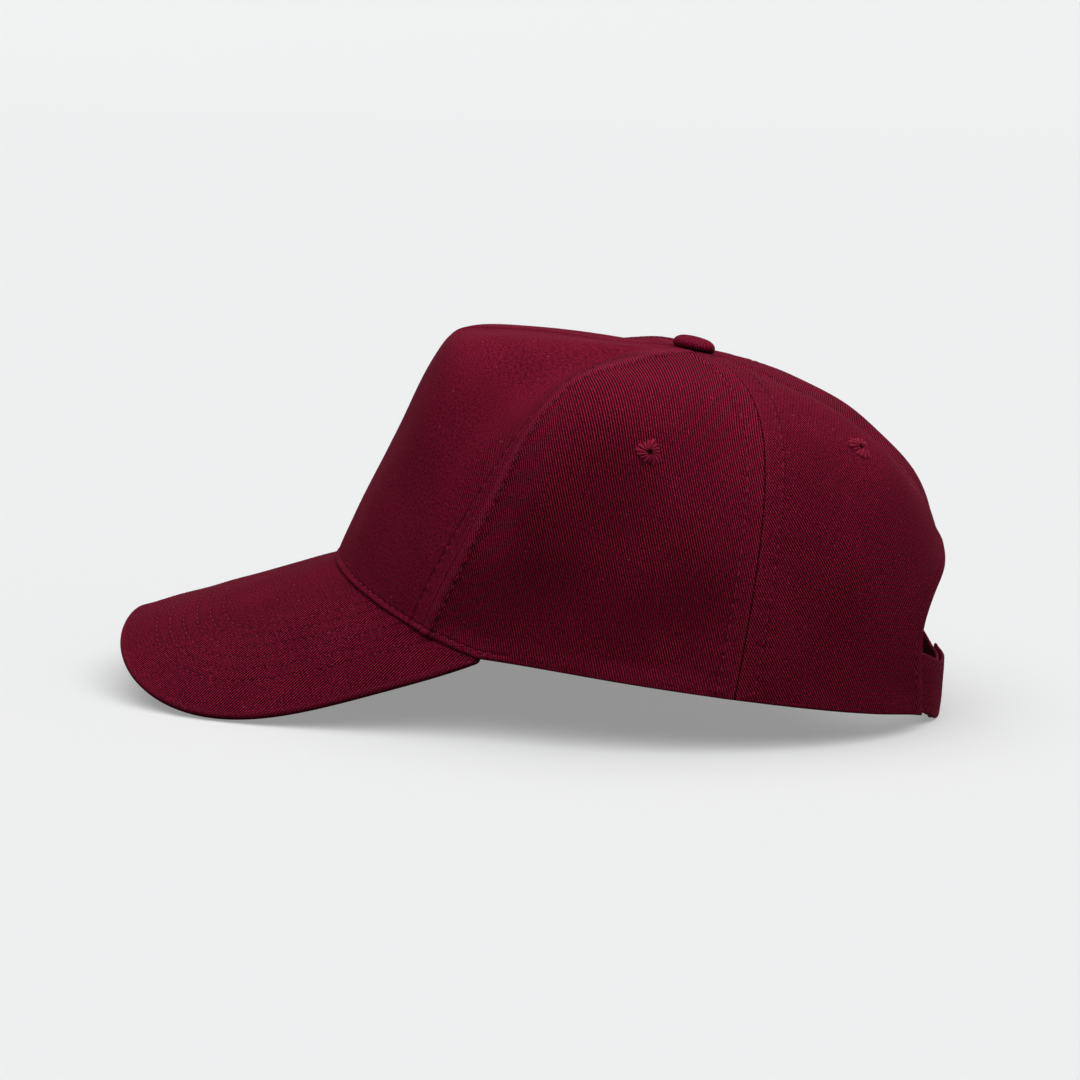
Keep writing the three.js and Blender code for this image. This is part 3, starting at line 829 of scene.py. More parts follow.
# Close to the lower edge the wall is set square to the head, so that it stays above the peak
def levelNormals(grid, over):
    flat = grid["normal"].copy()
    flat[..., 2] = 0
    flat = unit(flat)
    share = np.where(over, 1 - ease(grid["v"], 0.5, 4), 1 - ease(grid["v"], 0.2, 2.5))[..., None]
    return unit(grid["normal"] * (1 - share) + flat * share)


# Long soft waves of a panel's cloth, which fade out at its edges: height and wave length
softness = {"front": (0.22, 34), "side": (0.42, 46), "back": (0.42, 46)}


def quietEdges(grid):  # 0 at the seams, 1 in the middle
    return ease(grid["dLeft"], 1, 14) * ease(grid["dRight"], 1, 14) * ease(grid["v"], 0, 8)


def softWaves(part, grid, seed):
    height, wave = softness[part]
    return height * unevenness(grid["u"], grid["v"], wave, seed) * quietEdges(grid)


# Painted shade on stitch lines and seam edges, and lighter cloth between them (wear, with a painted
# highlight on the raised band), of each seam's side as (distance, row, line, fold, band)
def seamShade(*seams):
    paintedShade = 0
    wearAndHighlight = 0
    for distance, row, line, edge, band in seams:
        paintedShade = np.maximum(paintedShade, line * bell(distance - row - 0.2, 0.5) + edge * bell(distance, 0.2))
        lighter = 0.25 * bell(distance - 0.9, 0.7) + band * (1 - ease(distance, row - 0.8, row))
        wearAndHighlight = np.maximum(wearAndHighlight, lighter)
    return {"paintedShade": np.clip(paintedShade, 0, 1), "wearAndHighlight": np.clip(wearAndHighlight, 0, 1)}


# Front panel
grid = panelGrid(lambda share: -frontEdge(share), frontEdge, 0.0)
relief = seamRelief(grid["dLeft"], grid, rowPlaces["frontAhead"], 1.0, 0.1)
relief += seamRelief(grid["dRight"], grid, rowPlaces["frontAhead"], 2.4, 0.1)
relief += bandRelief(grid["azimuth"], grid["v"])
relief += dartRelief(grid["point"][..., 1], grid["reach"])
relief += softWaves("front", grid, 11)
# painted shade on the stitch row and seam edge of each side, with a faintly lighter band
frontEdges = (rowPlaces["frontAhead"], 0.45, 0.15, 0.1)
shade = seamShade((grid["dLeft"], *frontEdges), (grid["dRight"], *frontEdges))
# painted shade down the dart's valley
dartLine = ease(grid["reach"], dartLook["start"], dartLook["full"])
dartLine *= dartLook["paintedShade"] * bell(grid["point"][..., 1], dartLook["paintedShadeWidth"])
shade["paintedShade"] = np.clip(np.maximum(shade["paintedShade"], dartLine), 0, 1)
nearSeam = np.minimum(grid["dLeft"], grid["dRight"])
ribsShow = ease(grid["v"], 20, 70) * ease(grid["dTop"], 18, 45)
shade["plain"] = 1 - 0.9 * (1 - ease(nearSeam, 4, 20)) * ribsShow
finishPanel(
    "front_cloth", grid, relief, shade, crown["frontWall"], frontTwill,
    stands=("front_panel",),
)
frontGrid, frontRelief = grid, relief

# Soft hollow in each side panel just behind the front seam, slanting with it
hollow = {
    "azimuth": 68.0, "share": 0.36, "depth": 1.7, "across": 10.0, "up": 24.0,
    "perDegree": 1.5, "slant": 0.25,
}
waist = {"low": 16.0, "high": 38.0, "depth": 1.1}  # drawn in where the inner band holds the cloth
belly = {"share": 0.47, "spread": 0.20, "height": 1.2}  # the side's soft fullness between its seams
nape = {"share": 0.62, "spread": 0.11, "around": 32.0, "depth": 1.3}  # flatter above the opening
datum = {"side": 95.0, "back": 118.0}  # meridians that the cloth's u runs from
ribless = {"side": 0.55, "back": 0.35, "low": 22.0, "high": 50.0}  # smoother towards the foot
rearEdges = (0.25, 0.9, 0.1)  # line, fold and band of the rear seam's two sides: painted shade on the line and fold, a lighter band


def sided(hand, low, high):  # a panel's two edges on one side of the crown, in order of azimuth
    if hand > 0:
        return low, high
    return (lambda share: -high(share)), (lambda share: -low(share))


def fromSeams(grid, hand):  # distances along the rows from the panel's front and rear edges
    return (grid["dLeft"], grid["dRight"]) if hand > 0 else (grid["dRight"], grid["dLeft"])


panelGrids = {}
openingEdge = crownPoint(*openingLine(0.0))
for suffix, hand in sides:
    # Side panel, whose rear edge is folded over the back panel
    grid = panelGrid(*sided(hand, frontEdge, rearEdge), datum["side"] * hand)
    dFront, dRear = fromSeams(grid, hand)
    quiet = quietEdges(grid)
    relief = seamRelief(dFront, grid, rowPlaces["frontBehind"], 3.1, 0.6)
    relief += seamRelief(dRear, grid, rowPlaces["rearAhead"], 4.6, 0.45)
    relief += bandRelief(grid["azimuth"], grid["v"])
    relief += softWaves("side", grid, 23 + hand)
    across = (unsided(grid["azimuth"]) - hollow["azimuth"]) * hollow["perDegree"]
    up = (grid["reach"] - hollow["share"]) * grid["v"].max()
    dent = bell(across - hollow["slant"] * up, hollow["across"]) * bell(up, hollow["up"])
    relief -= hollow["depth"] * dent * ease(dFront, 2, 12)
    relief -= waist["depth"] * (1 - ease(grid["v"], waist["low"], waist["high"])) * quiet
    relief += belly["height"] * bell(grid["reach"] - belly["share"], belly["spread"]) * quiet
    # the band behind the front seam is made much lighter: a painted highlight on the raised band, and
    # painted shade on the row
    behind = (dFront, rowPlaces["frontBehind"], 1.0, 0.1, 0.6)
    shade = seamShade(behind, (dRear, rowPlaces["rearAhead"], *rearEdges))
    # a lighter rim along the lower fold: painted highlight
    shade["wearAndHighlight"] = np.maximum(shade["wearAndHighlight"], 0.7 * bell(grid["v"] - 0.4, 0.5))
    shade["plain"] = ribless["side"] * (1 - ease(grid["v"], ribless["low"], ribless["high"]))
    finishPanel(
        f"side_cloth_{suffix}", grid, relief, shade, crown["panelWall"], sideTwill,
        hand, airHoles[0], stands=(f"side_panel_{suffix}",),
    )
    panelGrids[f"side_{suffix}"] = (grid, relief, dFront, dRear)

    # Back panel, hemmed round the opening
    grid = panelGrid(*sided(hand, rearEdge, openEdge), datum["back"] * hand, arched=True)
    dFront, dRear = fromSeams(grid, hand)
    dOpening = distanceTo(grid["point"], openingEdge * np.array([1, hand, 1]))
    above = ease(grid["reach"], openingShare, openingShare + 0.06)
    relief = seamRelief(dFront, grid, rowPlaces["rearBehind"], 5.2, 0.2)
    relief += above * seamRelief(dRear, grid, rowPlaces["centre"], 6.0)
    flare = hemLook["lift"] + hemLook["flare"] * ease(grid["v"], 40, 56)
    relief += flare * (1 - ease(dOpening, hemLook["row"] - 1, hemLook["row"] + 4))
    relief -= hemLook["depth"] * bell(dOpening - hemLook["row"], 0.5)
    relief += softWaves("back", grid, 31 + hand)
    flat = nape["depth"] * bell(unsided(grid["azimuth"]) - 180, nape["around"]) * ease(dFront, 2, 20)
    relief -= flat * bell(grid["reach"] - nape["share"], nape["spread"])
    # painted shade along the hem's row and the centre seam, over the opening
    hem = (dOpening, hemLook["row"], 0.4, 0.2, 0.1)
    shade = seamShade((dFront, rowPlaces["rearBehind"], *rearEdges), hem)
    centreShade = seamShade((dRear, rowPlaces["centre"], 0.4, 0.8, 0.1))
    shade = {key: np.maximum(shade[key], above * centreShade[key]) for key in shade}
    shade["plain"] = ribless["back"] * (1 - ease(grid["v"], ribless["low"], ribless["high"]))
    finishPanel(
        f"back_cloth_{suffix}", grid, relief, shade, crown["panelWall"], backTwill,
        hand, airHoles[1], stands=(f"back_panel_{suffix}",),
    )
    panelGrids[f"back_{suffix}"] = (grid, relief, dFront, dRear)
print("panels made")


# Peak

noseEdge = -crown["frontReach"] - peak["reach"]
peakMiddle = -crown["frontReach"] + peak["shoulder"]
peakLength = peakMiddle - noseEdge
endTurn = math.acos(-(((peakEndX - peakMiddle) / peakLength) ** (peak["noseRoundness"] / 2)))
peakHalfWidth = -peakEndY / math.sin(endTurn) ** (2 / peak["sideRoundness"])
peakLook = {
    "columns": 300, "rows": 118, "edgeSteps": np.array([0, 0.08, 0.25, 0.5, 0.8, 1.15, 1.5, 1.9]),
    "firstRow": 13.0, "rowGap": 4.68, "rowCount": 6, "rowWidth": 0.55,
    "drawn": 0.14, "puff": 0.05, "soft": 0.10,
}


# Outline: x = middle - length sgn(cos)|cos|^(2/n), y = -width sgn(sin)|sin|^(2/m), spaced evenly
def peakOutline(count):
    turn = np.linspace(-endTurn, endTurn, 2401)
    c = np.cos(turn)
    s = np.sin(turn)
    x = peakMiddle - peakLength * np.sign(c) * np.abs(c) ** (2 / peak["noseRoundness"])
    y = -peakHalfWidth * np.sign(s) * np.abs(s) ** (2 / peak["sideRoundness"])
    run = lengths(np.stack([x, y], -1))
    want = np.linspace(0, run[-1], count + 1)
    return np.stack([np.interp(want, run, x), np.interp(want, run, y)], -1)


def peakNormal(y):
    sag = np.sqrt(np.maximum(peakArch ** 2 - y ** 2, 0))
    return unit(np.stack([np.full_like(y, -peak["fall"]), y / peakArch, sag / peakArch], -1))


edge = peakOutline(peakLook["columns"])
azimuth = np.linspace(-peak["endAzimuth"], peak["endAzimuth"], peakLook["columns"] + 1)
rootX, rootY = rimPlan(azimuth)
seat = 1 - (crown["frontWall"] + crown["gap"]) / np.hypot(rootX, rootY)
root = np.stack([rootX * seat, rootY * seat], -1)
reachIn = np.linalg.norm(root - edge, axis=-1)
steps = peakLook["edgeSteps"]
inner = np.linspace(0, 1, peakLook["rows"] - len(steps) + 1)[1:]
closeIn = np.minimum(steps[:, None], 0.3 * reachIn * steps[:, None] / steps[-1])
inwards = np.concatenate([closeIn, closeIn[-1] + (reachIn - closeIn[-1]) * inner[:, None]]) / reachIn
plan = edge + (root - edge) * inwards[..., None]
top = np.concatenate([plan, peakTop(plan[..., 0], plan[..., 1])[..., None]], -1)
normal = peakNormal(plan[..., 1])
outline = np.concatenate([edge, peakTop(edge[:, 0], edge[:, 1])[:, None]], -1)
far = distanceTo(top, np.concatenate([outline, (outline[1:] + outline[:-1]) / 2]))
rowAt = peakLook["firstRow"] + peakLook["rowGap"] * np.arange(peakLook["rowCount"])
inRows = ease(far, rowAt[0] - 3, rowAt[0]) * (1 - ease(far, rowAt[-1], rowAt[-1] + 3))
drawn = sum(bell(far - at, peakLook["rowWidth"]) for at in rowAt)
puff = np.sin(np.pi * np.clip((far - rowAt[0]) / peakLook["rowGap"] % 1, 0, 1)) * inRows
across = peakArch * np.arcsin(np.clip(plan[..., 1] / peakArch, -1, 1))
uv = np.stack([plan[..., 0] * math.hypot(1, peak["fall"]), across], -1)
relief = peakLook["puff"] * puff - peakLook["drawn"] * drawn
relief += peakLook["soft"] * unevenness(uv[..., 0], uv[..., 1], 22, 41) * ease(far, 1, 8)
rootFar = (1 - inwards) * reachIn
roundness = fold(far, peak["thickness"] / 2) * fold(rootFar, 0.6)
roundness[0] = 0
roundness[:, 0] = 0
roundness[:, -1] = 0
# painted shade along the rows of stitches, and a lighter band just inside the edge
shade = {"paintedShade": 0.45 * np.clip(drawn, 0, 1), "wearAndHighlight": 0.5 * bell(far - 0.9, 1.0)}
worn = 0.75 * (1 - ease(np.abs(plan[..., 1]), 22, 52))
shade["plain"] = np.maximum(worn, 0.8 * bell(far, 1.6))
piece = buildSheet(
    "peak_cloth", top, normal, peak["thickness"], roundness, peakTwill, uv, shade,
    relief, stands=("peak",),
)
print("peak_cloth", len(piece.data.polygons), "faces")
peakFace = top + normal * relief[..., None]


# Line at one distance in from the outline, found down each column of the grid
def levelLine(distance, values, level):
    past = distance >= level
    column = np.arange(distance.shape[1])
    has = past.any(axis=0) & (column > 1) & (column < len(column) - 2)
    row = np.maximum(past.argmax(axis=0), 1)
    before = distance[row - 1, column]
    part = ((level - before) / (distance[row, column] - before))[:, None]
    found = []
    for value in values:
        low = value[row - 1, column]
        found.append((low + (value[row, column] - low) * part)[has])
    return found


inFront = np.where(rootFar > crown["frontWall"] + 1.2, far, -1)  # where the crown hides nothing
runs = []
for k, at in enumerate(rowAt):
    path, out = levelLine(inFront, [peakFace, normal], at)
    runs.append(layStitches(path, out, 0.05, 50 + k, start=0.5 + 0.13 * k))
    runs.append(layStitches(path, -out, peak["thickness"] - 0.06, 70 + k))
buildStitches("peak_stitches", runs, peakThread)
print("peak stitches laid")


# Rows of stitches on the crown

rowTop = 4.0  # how far below the button's hole the rows end


# Points at one distance from a panel's seam, one a row of its grid, from a height over the lower
# edge up to the button
def rowLine(panelKey, side, distance, low):
    grid, relief, dFront, dRear = panelGrids[panelKey]
    lifted = grid["point"] + grid["normal"] * relief[..., None]
    path = []
    out = []
    for r, across in enumerate(dFront if side == "front" else dRear):
        c = np.abs(across - distance).argmin()
        if grid["v"][r, c] < low or grid["dTop"][r, c] < rowTop or abs(across[c] - distance) > 0.6:
            continue
        order = slice(None) if across[-1] > across[0] else slice(None, None, -1)
        for line, values in ((path, lifted), (out, grid["normal"])):
            line.append([np.interp(distance, across[order], values[r, order, k]) for k in range(3)])
    return np.array(path), np.array(out)


def crownRow(azimuth, share, lift, seed, **changes):  # stitches along a line on the bare crown
    path = crownPoint(azimuth, share)
    return layStitches(path, crownNormal(azimuth, share), lift, seed, **changes)


crownRows = [  # panel, its edge, distance from it, height to start at, seed
    ("front", "front", rowPlaces["frontAhead"], 3.4, 90),
    ("side", "front", rowPlaces["frontBehind"], 3.4, 91),
    ("side", "rear", rowPlaces["rearAhead"], 1.0, 92),
    ("back", "front", rowPlaces["rearBehind"], 1.0, 93),
    ("back", "rear", rowPlaces["centre"], opening["height"] + 3, 96),
]
panelGrids["front_left"] = (frontGrid, frontRelief, frontGrid["dRight"], frontGrid["dLeft"])
panelGrids["front_right"] = (frontGrid, frontRelief, frontGrid["dLeft"], frontGrid["dRight"])
for suffix, hand in sides:
    runs = []
    for panel, side, distance, low, seed in crownRows:
        path, out = rowLine(f"{panel}_{suffix}", side, distance, low)
        runs.append(layStitches(path, out, 0.06, seed))
    azimuth, share = openingLine(hemLook["row"])  # the hem
    runs.append(crownRow(azimuth * hand, share, -0.02, 97))
    azimuth = np.linspace(0.6, bandLook["end"], 300) * hand  # over the peak
    share = bandLook["width"] / clothLength(azimuth)
    runs.append(crownRow(azimuth, share, -0.25, 98, width=0.6, height=0.5))
    buildStitches(f"crown_stitches_{suffix}", runs, threadMaterial)
print("crown stitches laid")


# Air holes: a worked ring of thread, closed all round its bore. Height over the cloth is
# h(r) = a rounded hump, notched by the threads' gaps |sin| and uneven in reach.
ringLook = {
    "bore": 0.7, "reach": 3.75, "height": 0.85, "proud": 0.15, "columns": 192, "rows": 22,
    "threads": 15, "swirl": 0.28, "notch": 0.75, "stray": 0.5, "uneven": 0.3, "lobe": 0.35,
    "sink": 0.22,
}
ringUnder = np.array([  # radius and height of the ring's hidden side, from outside to the bore
    [3.9, -0.9], [1.5, -0.9], [1.45, -1.9], [2.6, -2.0], [2.5, -2.55], [0.75, -2.5], [0.6, -1.0],
])


def buildRing(name, centre, out, seed, stands):
    rng = np.random.default_rng(seed)
    turns = np.linspace(0, 2 * np.pi, ringLook["columns"] + 1)[:-1, None]
    across = np.linspace(0, 1, ringLook["rows"])
    threads = ringLook["threads"]
    which = (turns + ringLook["swirl"] * across) * threads / (2 * np.pi)
    strand = np.abs(np.sin(np.pi * which)) ** 0.7
    number = np.floor(which).astype(int) % threads
    stray = rng.uniform(-1, 1, threads)[number]
    uneven = rng.uniform(-1, 1, threads)[number]
    lobes = ringLook["lobe"] * np.cos(3 * turns + seed)
    reach = ringLook["reach"] + lobes + ringLook["stray"] * (stray + strand - 0.6)
    hump = np.sin(np.pi * (0.10 + 0.90 * across ** 0.8)) ** 0.55
    tall = ringLook["height"] * (1 + ringLook["uneven"] * (uneven + lobes))
    height = tall * hump * (1 - ringLook["notch"] * (1 - strand)) - ringLook["sink"] * across ** 4
    radius = ringLook["bore"] + (reach - ringLook["bore"]) * across
    radius = np.concatenate([radius, 0 * turns + ringUnder[:, 0]], axis=1)[..., None]
    height = np.concatenate([height, 0 * turns + ringUnder[:, 1]], axis=1)[..., None]
    side = unit(np.cross(np.array([0, 0, 1.0]), out))
    spoke = np.cos(turns) * side + np.sin(turns) * np.cross(out, side)
    world = centre + radius * spoke[:, None] + height * out
    faces = gridFaces(wrapped(*world.shape[:2], closed=True), flip=True).tolist()
    # painted shade between the threads, down in the bore and all over the ring's hidden side
    gaps = (1 - strand) * 0.7 + 0.9 * bell(across, 0.1)
    paintedShade = np.concatenate([gaps, np.ones((len(turns), len(ringUnder)))], axis=1)
    buildMesh(
        name, world, faces, ringThread, attributes={"paintedShade": np.clip(paintedShade, 0, 1)},
        stands=stands,
    )


for suffix, hand in sides:
    for k, row in enumerate(airHoles):
        centre, out = holeFrame(row, hand)
        centre = centre + out * (holeLift[row["name"], hand] + ringLook["proud"])
        place = f"{row['name']}_{suffix}"
        buildRing(f"hole_ring_{place}", centre, out, 60 + k, (f"eyelet_{place}",))
print("air holes worked")


# Button: a covered dome, its lower edge turned under and its foot following the crown. Going up
# its side, the lean turns from below its widest ring, at 0 degrees, to the top at 90.
buttonLook = {
    "radius": 6.85, "height": 3.6, "turns": 96, "steps": 26, "lean": -48.0, "widest": 0.36,
    "girth": 1.03, "tip": 0.012, "sink": 0.02, "foot": 0.5, "gathers": 17, "gather": 0.012,
}


def buildButton():
    radius = buttonLook["radius"]
    turns = np.linspace(0, 360, buttonLook["turns"] + 1)[:-1] - 180

    def crownRing(share, lift):  # on the crown, at a share of the button's radius from the apex
        reach = 1 - share * radius / clothLength(turns)
        return crownPoint(turns, reach) + crownNormal(turns, reach) * lift

    rim = crownRing(1, crown["gap"])
    ahead = rim[buttonLook["turns"] // 2] - rim[0]
    axis = unit(np.array([-ahead[2], 0, ahead[0]]))
    axis = axis if axis[2] > 0 else -axis
    lean = np.radians(np.linspace(buttonLook["lean"], 90, buttonLook["steps"]))
    widest = buttonLook["widest"]
    dome = widest + (1 - widest) * np.sin(np.maximum(lean, 0)) ** 1.05
    rise = np.where(lean < 0, widest * (1 - np.sin(lean) / np.sin(lean[0])), dome)
    reach = buttonLook["girth"] * np.cos(lean) ** np.where(lean < 0, 0.30, 0.62)
    reach[-1] = buttonLook["tip"]
    turn = np.radians(turns)[:, None]
    gather = buttonLook["gather"] * np.sin(buttonLook["gathers"] * turn) * (1 - ease(rise, 0.05, 0.45))
    spoke = rim - apex
    flat = spoke[:, None] - ((spoke @ axis)[:, None] * rise)[..., None] * axis
    stand = crown["gap"] + buttonLook["height"] * (rise - buttonLook["sink"])
    point = apex + flat * (reach + gather)[..., None] + axis * stand[None, :, None]
    foot = crownRing(buttonLook["foot"], 0.5 * crown["gap"])
    ring = np.concatenate([foot[:, None], point], axis=1)
    count, width = ring.shape[:2]
    index = wrapped(count, width, closed=False)
    faces = gridFaces(index, flip=True).tolist()
    bottom = count * width
    for k in range(count):
        faces.append([int(index[k, 0]), int(index[k + 1, 0]), bottom])
        faces.append([int(index[k + 1, -1]), int(index[k, -1]), bottom + 1])
    points = np.concatenate([ring.reshape(-1, 3), [ring[:, 0].mean(0), ring[:, -1].mean(0)]])
    run = lengths(ring[:, ::-1])[:, ::-1]
    uv = np.stack([-run * np.cos(turn), -run * np.sin(turn)], -1).reshape(-1, 2)
    uv = np.concatenate([uv, uv[:1], [[0, 0]]])
    low = np.append(0, rise)
    # painted shadow round the foot, under the dome's turned-under edge, and a lighter ring high on the
    # dome
    paintedShade = np.append(np.tile(0.7 * (1 - ease(low, 0.0, 0.2)), count), [1, 0])
    wearAndHighlight = np.append(np.tile(0.35 * bell(low - 0.75, 0.2), count), [0, 0])
    shade = {"paintedShade": paintedShade, "wearAndHighlight": wearAndHighlight}
    buildMesh("button_cloth", points, faces, buttonTwill, uv, shade, ("button",))


buildButton()
print("button covered")


# Strap halves: folded bands along the crown's rear edge, stitched near both long edges
strapLook = {
    "columns": 120, "rowStep": 0.55, "edgeSteps": [0, 0.06, 0.2, 0.42, 0.65], "perDegree": 1.42,
    "row": 2.4, "drawn": 0.16, "soft": 0.10, "stitchEnd": 2.0, "tackFrom": 1.8,
}
edgeAngle = float(openingHalfAngle(np.array(springShare)))
tuckAngle = math.degrees(strap["tuck"] / crown["halfWidth"])
overlapAngle = math.degrees(strap["overlap"] / crown["halfWidth"]) / 2
behindPanel = crown["panelWall"] + crown["gap"]
underOther = strap["thickness"] + crown["gap"]


def strapLift(azimuth):
    return strap["lift"] * ease(np.abs(azimuth - 180), 180 - rimRows[-2, 0], edgeAngle)


def leftDepth(azimuth):
    return behindPanel * ease(180 - azimuth, overlapAngle, edgeAngle)


def rightDepth(azimuth):
    return 0 * azimuth + max(underOther, behindPanel)


def strapSurface(azimuth, across, depth):
    share = (strapLift(azimuth) + across) / clothLength(azimuth)
    out = crownNormal(azimuth, share)
    out[..., 2] = 0
    out = unit(out)
    return crownPoint(azimuth, share) - out * depth(azimuth)[..., None], out


def buildStrap(suffix, start, end, depth, tackAt):
    perDegree = strapLook["perDegree"]
    span = (end - start) * perDegree
    row = strapLook["row"]
    columns = graded(span, strapLook["edgeSteps"], span / strapLook["columns"])
    rows = graded(strap["width"], strapLook["edgeSteps"], strapLook["rowStep"])
    along, height = np.meshgrid(columns, rows)
    point, out = strapSurface(start + along / perDegree, height, depth)
    edge = np.minimum(height, strap["width"] - height)
    ends = np.minimum(along, span - along)
    roundness = fold(edge, strap["thickness"] / 2) * fold(ends, strap["thickness"] / 2)
    soft = unevenness(along, height, 17, 81 + (suffix == "left"))
    relief = strapLook["soft"] * soft * ease(edge, 0.6, 4) - strapLook["drawn"] * bell(edge - row, 0.45)
    # painted shade along the stitch rows, and lighter folded edges
    shade = {"paintedShade": 0.4 * bell(edge - row, 0.4), "wearAndHighlight": 0.5 * bell(edge - 0.5, 0.6)}
    buildSheet(
        f"strap_cloth_{suffix}", point, out, strap["thickness"], roundness, strapTwill,
        np.stack([along, height], -1), shade, relief, stands=(f"strap_{suffix}",),
    )
    inset = strapLook["stitchEnd"] / perDegree
    path = np.linspace(start + inset, end - inset, 200)
    cross = np.linspace(row, strap["width"] - row, 40)
    lines = [  # azimuths, heights, lift, seed: both long edges and the tack across the free end
        (path, np.full_like(path, row), -0.08, 120),
        (path, np.full_like(path, strap["width"] - row), -0.08, 121),
        (np.full_like(cross, tackAt), cross, -0.02, 124),
    ]
    runs = [layStitches(*strapSurface(*line, depth), lift, seed) for *line, lift, seed in lines]
    buildStitches(f"strap_stitches_{suffix}", runs, threadMaterial)


leftEnd = 180 + overlapAngle
rightEnd = 180 - 0.9 * overlapAngle
buildStrap("left", 180 - edgeAngle - tuckAngle, leftEnd, leftDepth, leftEnd - strapLook["tackFrom"])
buildStrap("right", rightEnd, 180 + edgeAngle + tuckAngle, rightDepth, rightEnd + strapLook["tackFrom"])
print("strap halves laid")


# Inside: a band against the brow and tapes over the seams
bandInside = {
    "height": 30.0, "thickness": 1.0, "end": 153.0, "row": 2.2, "lift": 1.2, "gap": 0.45,
    "deeper": 1.35, "perDegree": 1.45, "clothPerDegree": 1.5,
}
tapeLook = {"width": 10.0, "thickness": 0.6, "gap": 0.12, "rows": 90, "row": 1.2, "top": 0.93}


def buildInnerBand():
    end = bandInside["end"]
    columns = graded(2 * end, [0, 0.05, 0.15, 0.35, 0.7], 0.9) - end
    rows = graded(bandInside["height"], [0, 0.05, 0.15, 0.3, 0.5], 1.0)
    azimuth, height = np.meshgrid(columns, rows)
    share = (height + bandInside["lift"]) / clothLength(azimuth)
    out = crownNormal(azimuth, share)
    deeper = bandInside["deeper"] * ease(unsided(azimuth), 132, 142)  # behind the strap's ends
    depth = crown["frontWall"] + bandInside["gap"] + deeper
    point = crownPoint(azimuth, share) - out * depth[..., None]
    edge = np.minimum(height, bandInside["height"] - height)
    ends = (end - unsided(azimuth)) * bandInside["perDegree"]
    roundness = fold(edge, 0.5) * fold(ends, 0.5)
    uv = np.stack([azimuth * bandInside["clothPerDegree"], height], -1)
    # painted shade along the stitch row, and lighter folded edges
    shade = {"paintedShade": 0.4 * bell(edge - bandInside["row"], 0.5), "wearAndHighlight": 0.3 * bell(edge - 0.4, 0.5)}
    buildSheet(
        "inner_band", point, out, bandInside["thickness"], roundness, bandTwill,
        uv, shade,
    )


def buildTape(name, seam, low, high):
    width = tapeLook["width"]
    columns = graded(width, [0, 0.05, 0.15, 0.3, 0.6], 0.81)
    across, share = np.meshgrid(columns, np.linspace(low, high, tapeLook["rows"]))
    middle = seam(share)
    reach = share * (1 - crown["topHole"] / clothLength(middle))
    azimuth = middle + (across - width / 2) / perDegree(middle, reach)
    out = crownNormal(azimuth, reach)
    point = crownPoint(azimuth, reach) - out * (crown["frontWall"] + tapeLook["gap"])
    edge = np.minimum(across, width - across)
    ends = np.minimum(share - low, high - share) * backLength
    roundness = fold(edge, 0.35) * fold(ends, 0.35)
    uv = np.stack([across, reach * backLength], -1)
    # painted shade along the stitch row, and lighter folded edges
    shade = {"paintedShade": 0.4 * bell(edge - tapeLook["row"], 0.4), "wearAndHighlight": 0.2 * bell(edge - 0.4, 0.4)}
    buildSheet(
        name, point, out, tapeLook["thickness"], roundness, bandTwill, uv, shade)


buildInnerBand()
tapeLow = (bandInside["height"] + 2.2) / backLength
for part, seam in (("front", frontEdge), ("rear", rearEdge)):
    for suffix, hand in sides:
        name = f"seam_tape_{part}_{suffix}"
        buildTape(name, lambda share: hand * seam(share), tapeLow, tapeLook["top"])
buildTape("seam_tape_centre", lambda share: 180 + 0 * share, openingShare + 0.007, 0.965)
print("inside finished")


# Studio: a pale floor that curves up into a backdrop, soft lights and the camera
studio = {
    "floorTone": (0.515, 0.52, 0.525), "bend": 6.0, "radius": 3.0, "wall": 4.0,
    "world": 0.05, "floorGlow": 0.29, "wallGlow": 0.50,
}
cameraLook = {
    "azimuth": 4.5, "elevation": 9.7, "roll": 1.88, "distance": 1.0, "lens": 100.0,
    "target": (-30.5, 0.0, 51.26),
}
lightLook = [  # name, direction it comes from, degrees across, strength
    ("overhead", (0.06, -0.17, 1.0), 92.0, 3.15),
    ("rear side", (0.9, -0.3, 0.7), 60.0, 0.34),
]


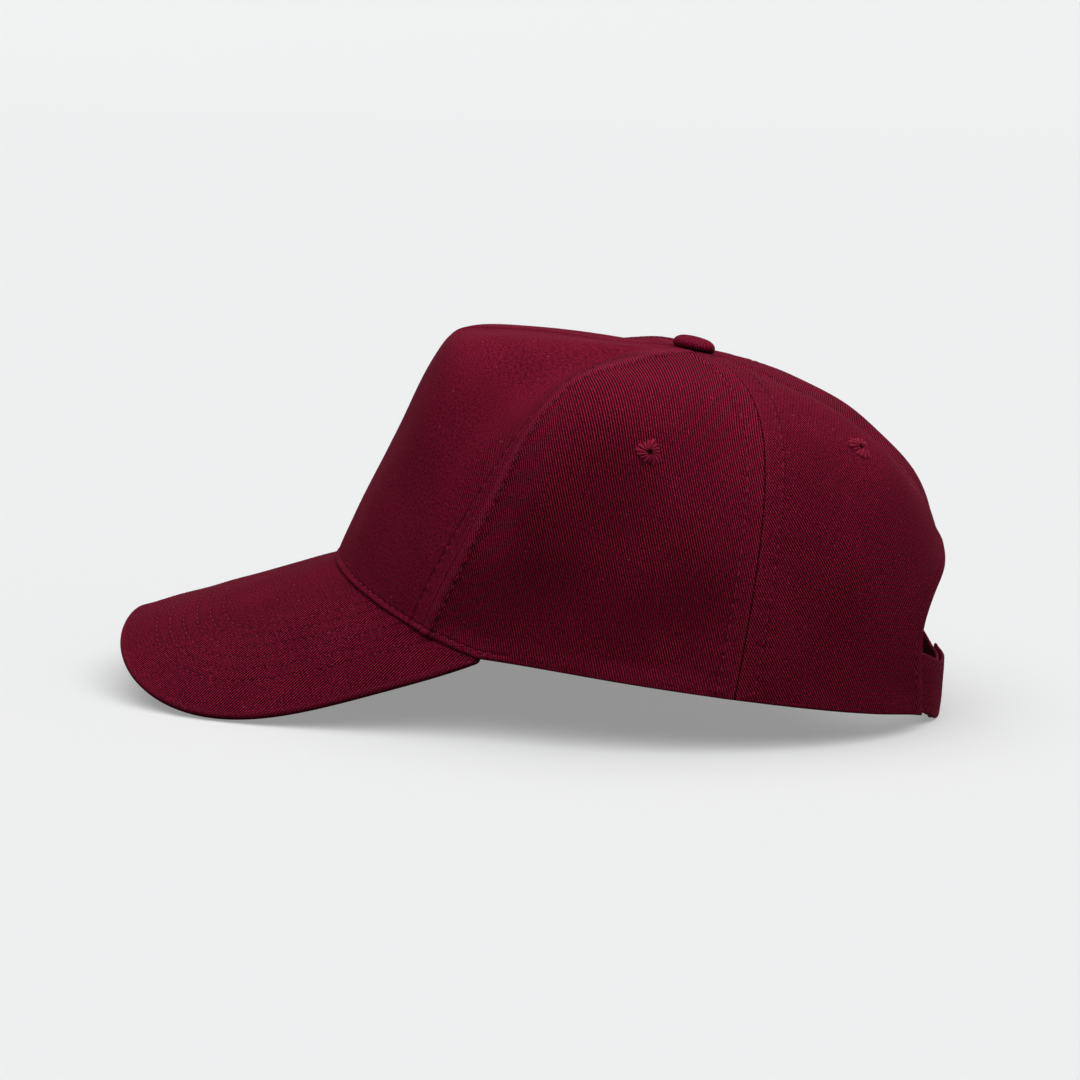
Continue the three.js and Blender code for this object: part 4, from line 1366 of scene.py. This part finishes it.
# Floor profile: level, then a quarter circle up into the wall, turned round the cap
def buildFloor():
    level = np.array([[0.02, 0.0], [1.0, 0.0], [2.5, 0.0], [studio["bend"], 0.0]])
    turn = np.linspace(0, np.pi / 2, 24)[1:]
    bend = [studio["bend"], 0] + studio["radius"] * np.stack([np.sin(turn), 1 - np.cos(turn)], -1)
    wall = [[studio["bend"] + studio["radius"], studio["wall"]]]
    profile = np.concatenate([level, bend, wall])
    spin = np.linspace(0, 2 * np.pi, 97)[:-1]
    grid = np.stack([
        profile[:, :1] * np.cos(spin), profile[:, :1] * np.sin(spin), profile[:, 1:] + 0 * spin,
    ], -1)
    index = np.arange(len(profile) * len(spin)).reshape(len(profile), len(spin))
    index = np.concatenate([index, index[:, :1]], axis=1)
    mesh = bpy.data.meshes.new("floor")
    faces = gridFaces(index, flip=True).tolist() + [index[0, :-1].tolist()]
    mesh.from_pydata(grid.reshape(-1, 3).tolist(), [], faces)
    mesh.polygons.foreach_set("use_smooth", np.ones(len(mesh.polygons), dtype=bool))
    material, shader = newMaterial("pale floor")
    setInputs(
        shader, Base_Color=(*studio["floorTone"], 1), Roughness=0.9, Specular_IOR_Level=0.0,
        Emission_Color=(1, 1, 1, 1),
    )
    place = addNode(material, "ShaderNodeTexCoord")
    height = addNode(material, "ShaderNodeSeparateXYZ")
    link(material, place.outputs["Object"], height.inputs[0])
    climb = maths(material, "DIVIDE", height.outputs["Z"], studio["radius"], clamp=True)
    glow = maths(material, "MULTIPLY_ADD", climb, studio["wallGlow"], studio["floorGlow"])
    link(material, glow, shader.inputs["Emission Strength"])  # the wall makes up for its lesser light
    mesh.materials.append(material)
    floor = bpy.data.objects.new("floor", mesh)
    bpy.context.scene.collection.objects.link(floor)
    floor.visible_diffuse = False  # its white doesn't glow on the cloth


def placeLights():
    for name, source, width, strength in lightLook:
        lamp = bpy.data.lights.new(name, "SUN")
        lamp.angle = math.radians(width)
        lamp.energy = strength
        holder = bpy.data.objects.new(name, lamp)
        holder.location = source
        holder.rotation_euler = (-Vector(source)).to_track_quat("-Z", "Y").to_euler()
        bpy.context.scene.collection.objects.link(holder)
    world = bpy.data.worlds.new("studio")
    world.use_nodes = True
    background = world.node_tree.nodes["Background"]
    setInputs(background, Color=(1, 1, 1, 1), Strength=studio["world"])
    bpy.context.scene.world = world


def placeCamera():
    a, e, r = (math.radians(cameraLook[key]) for key in ("azimuth", "elevation", "roll"))
    back = Vector((math.sin(a) * math.cos(e), -math.cos(a) * math.cos(e), math.sin(e)))
    level = Vector((math.cos(a), math.sin(a), 0))
    rise = back.cross(level)
    right = level * math.cos(r) + rise * math.sin(r)
    up = rise * math.cos(r) - level * math.sin(r)
    target = Vector((np.array(cameraLook["target"]) + frameShift) * 0.001)
    data = bpy.data.cameras.new("camera")
    data.lens = cameraLook["lens"]
    data.sensor_width = 36
    camera = bpy.data.objects.new("camera", data)
    place = target + back * cameraLook["distance"]
    camera.matrix_world = Matrix((
        (right.x, up.x, back.x, place.x), (right.y, up.y, back.y, place.y),
        (right.z, up.z, back.z, place.z), (0, 0, 0, 1),
    ))
    bpy.context.scene.collection.objects.link(camera)
    bpy.context.scene.camera = camera


buildFloor()
placeLights()
placeCamera()
bpy.context.scene.view_settings.view_transform = "Standard"
bpy.context.scene.view_settings.look = "None"
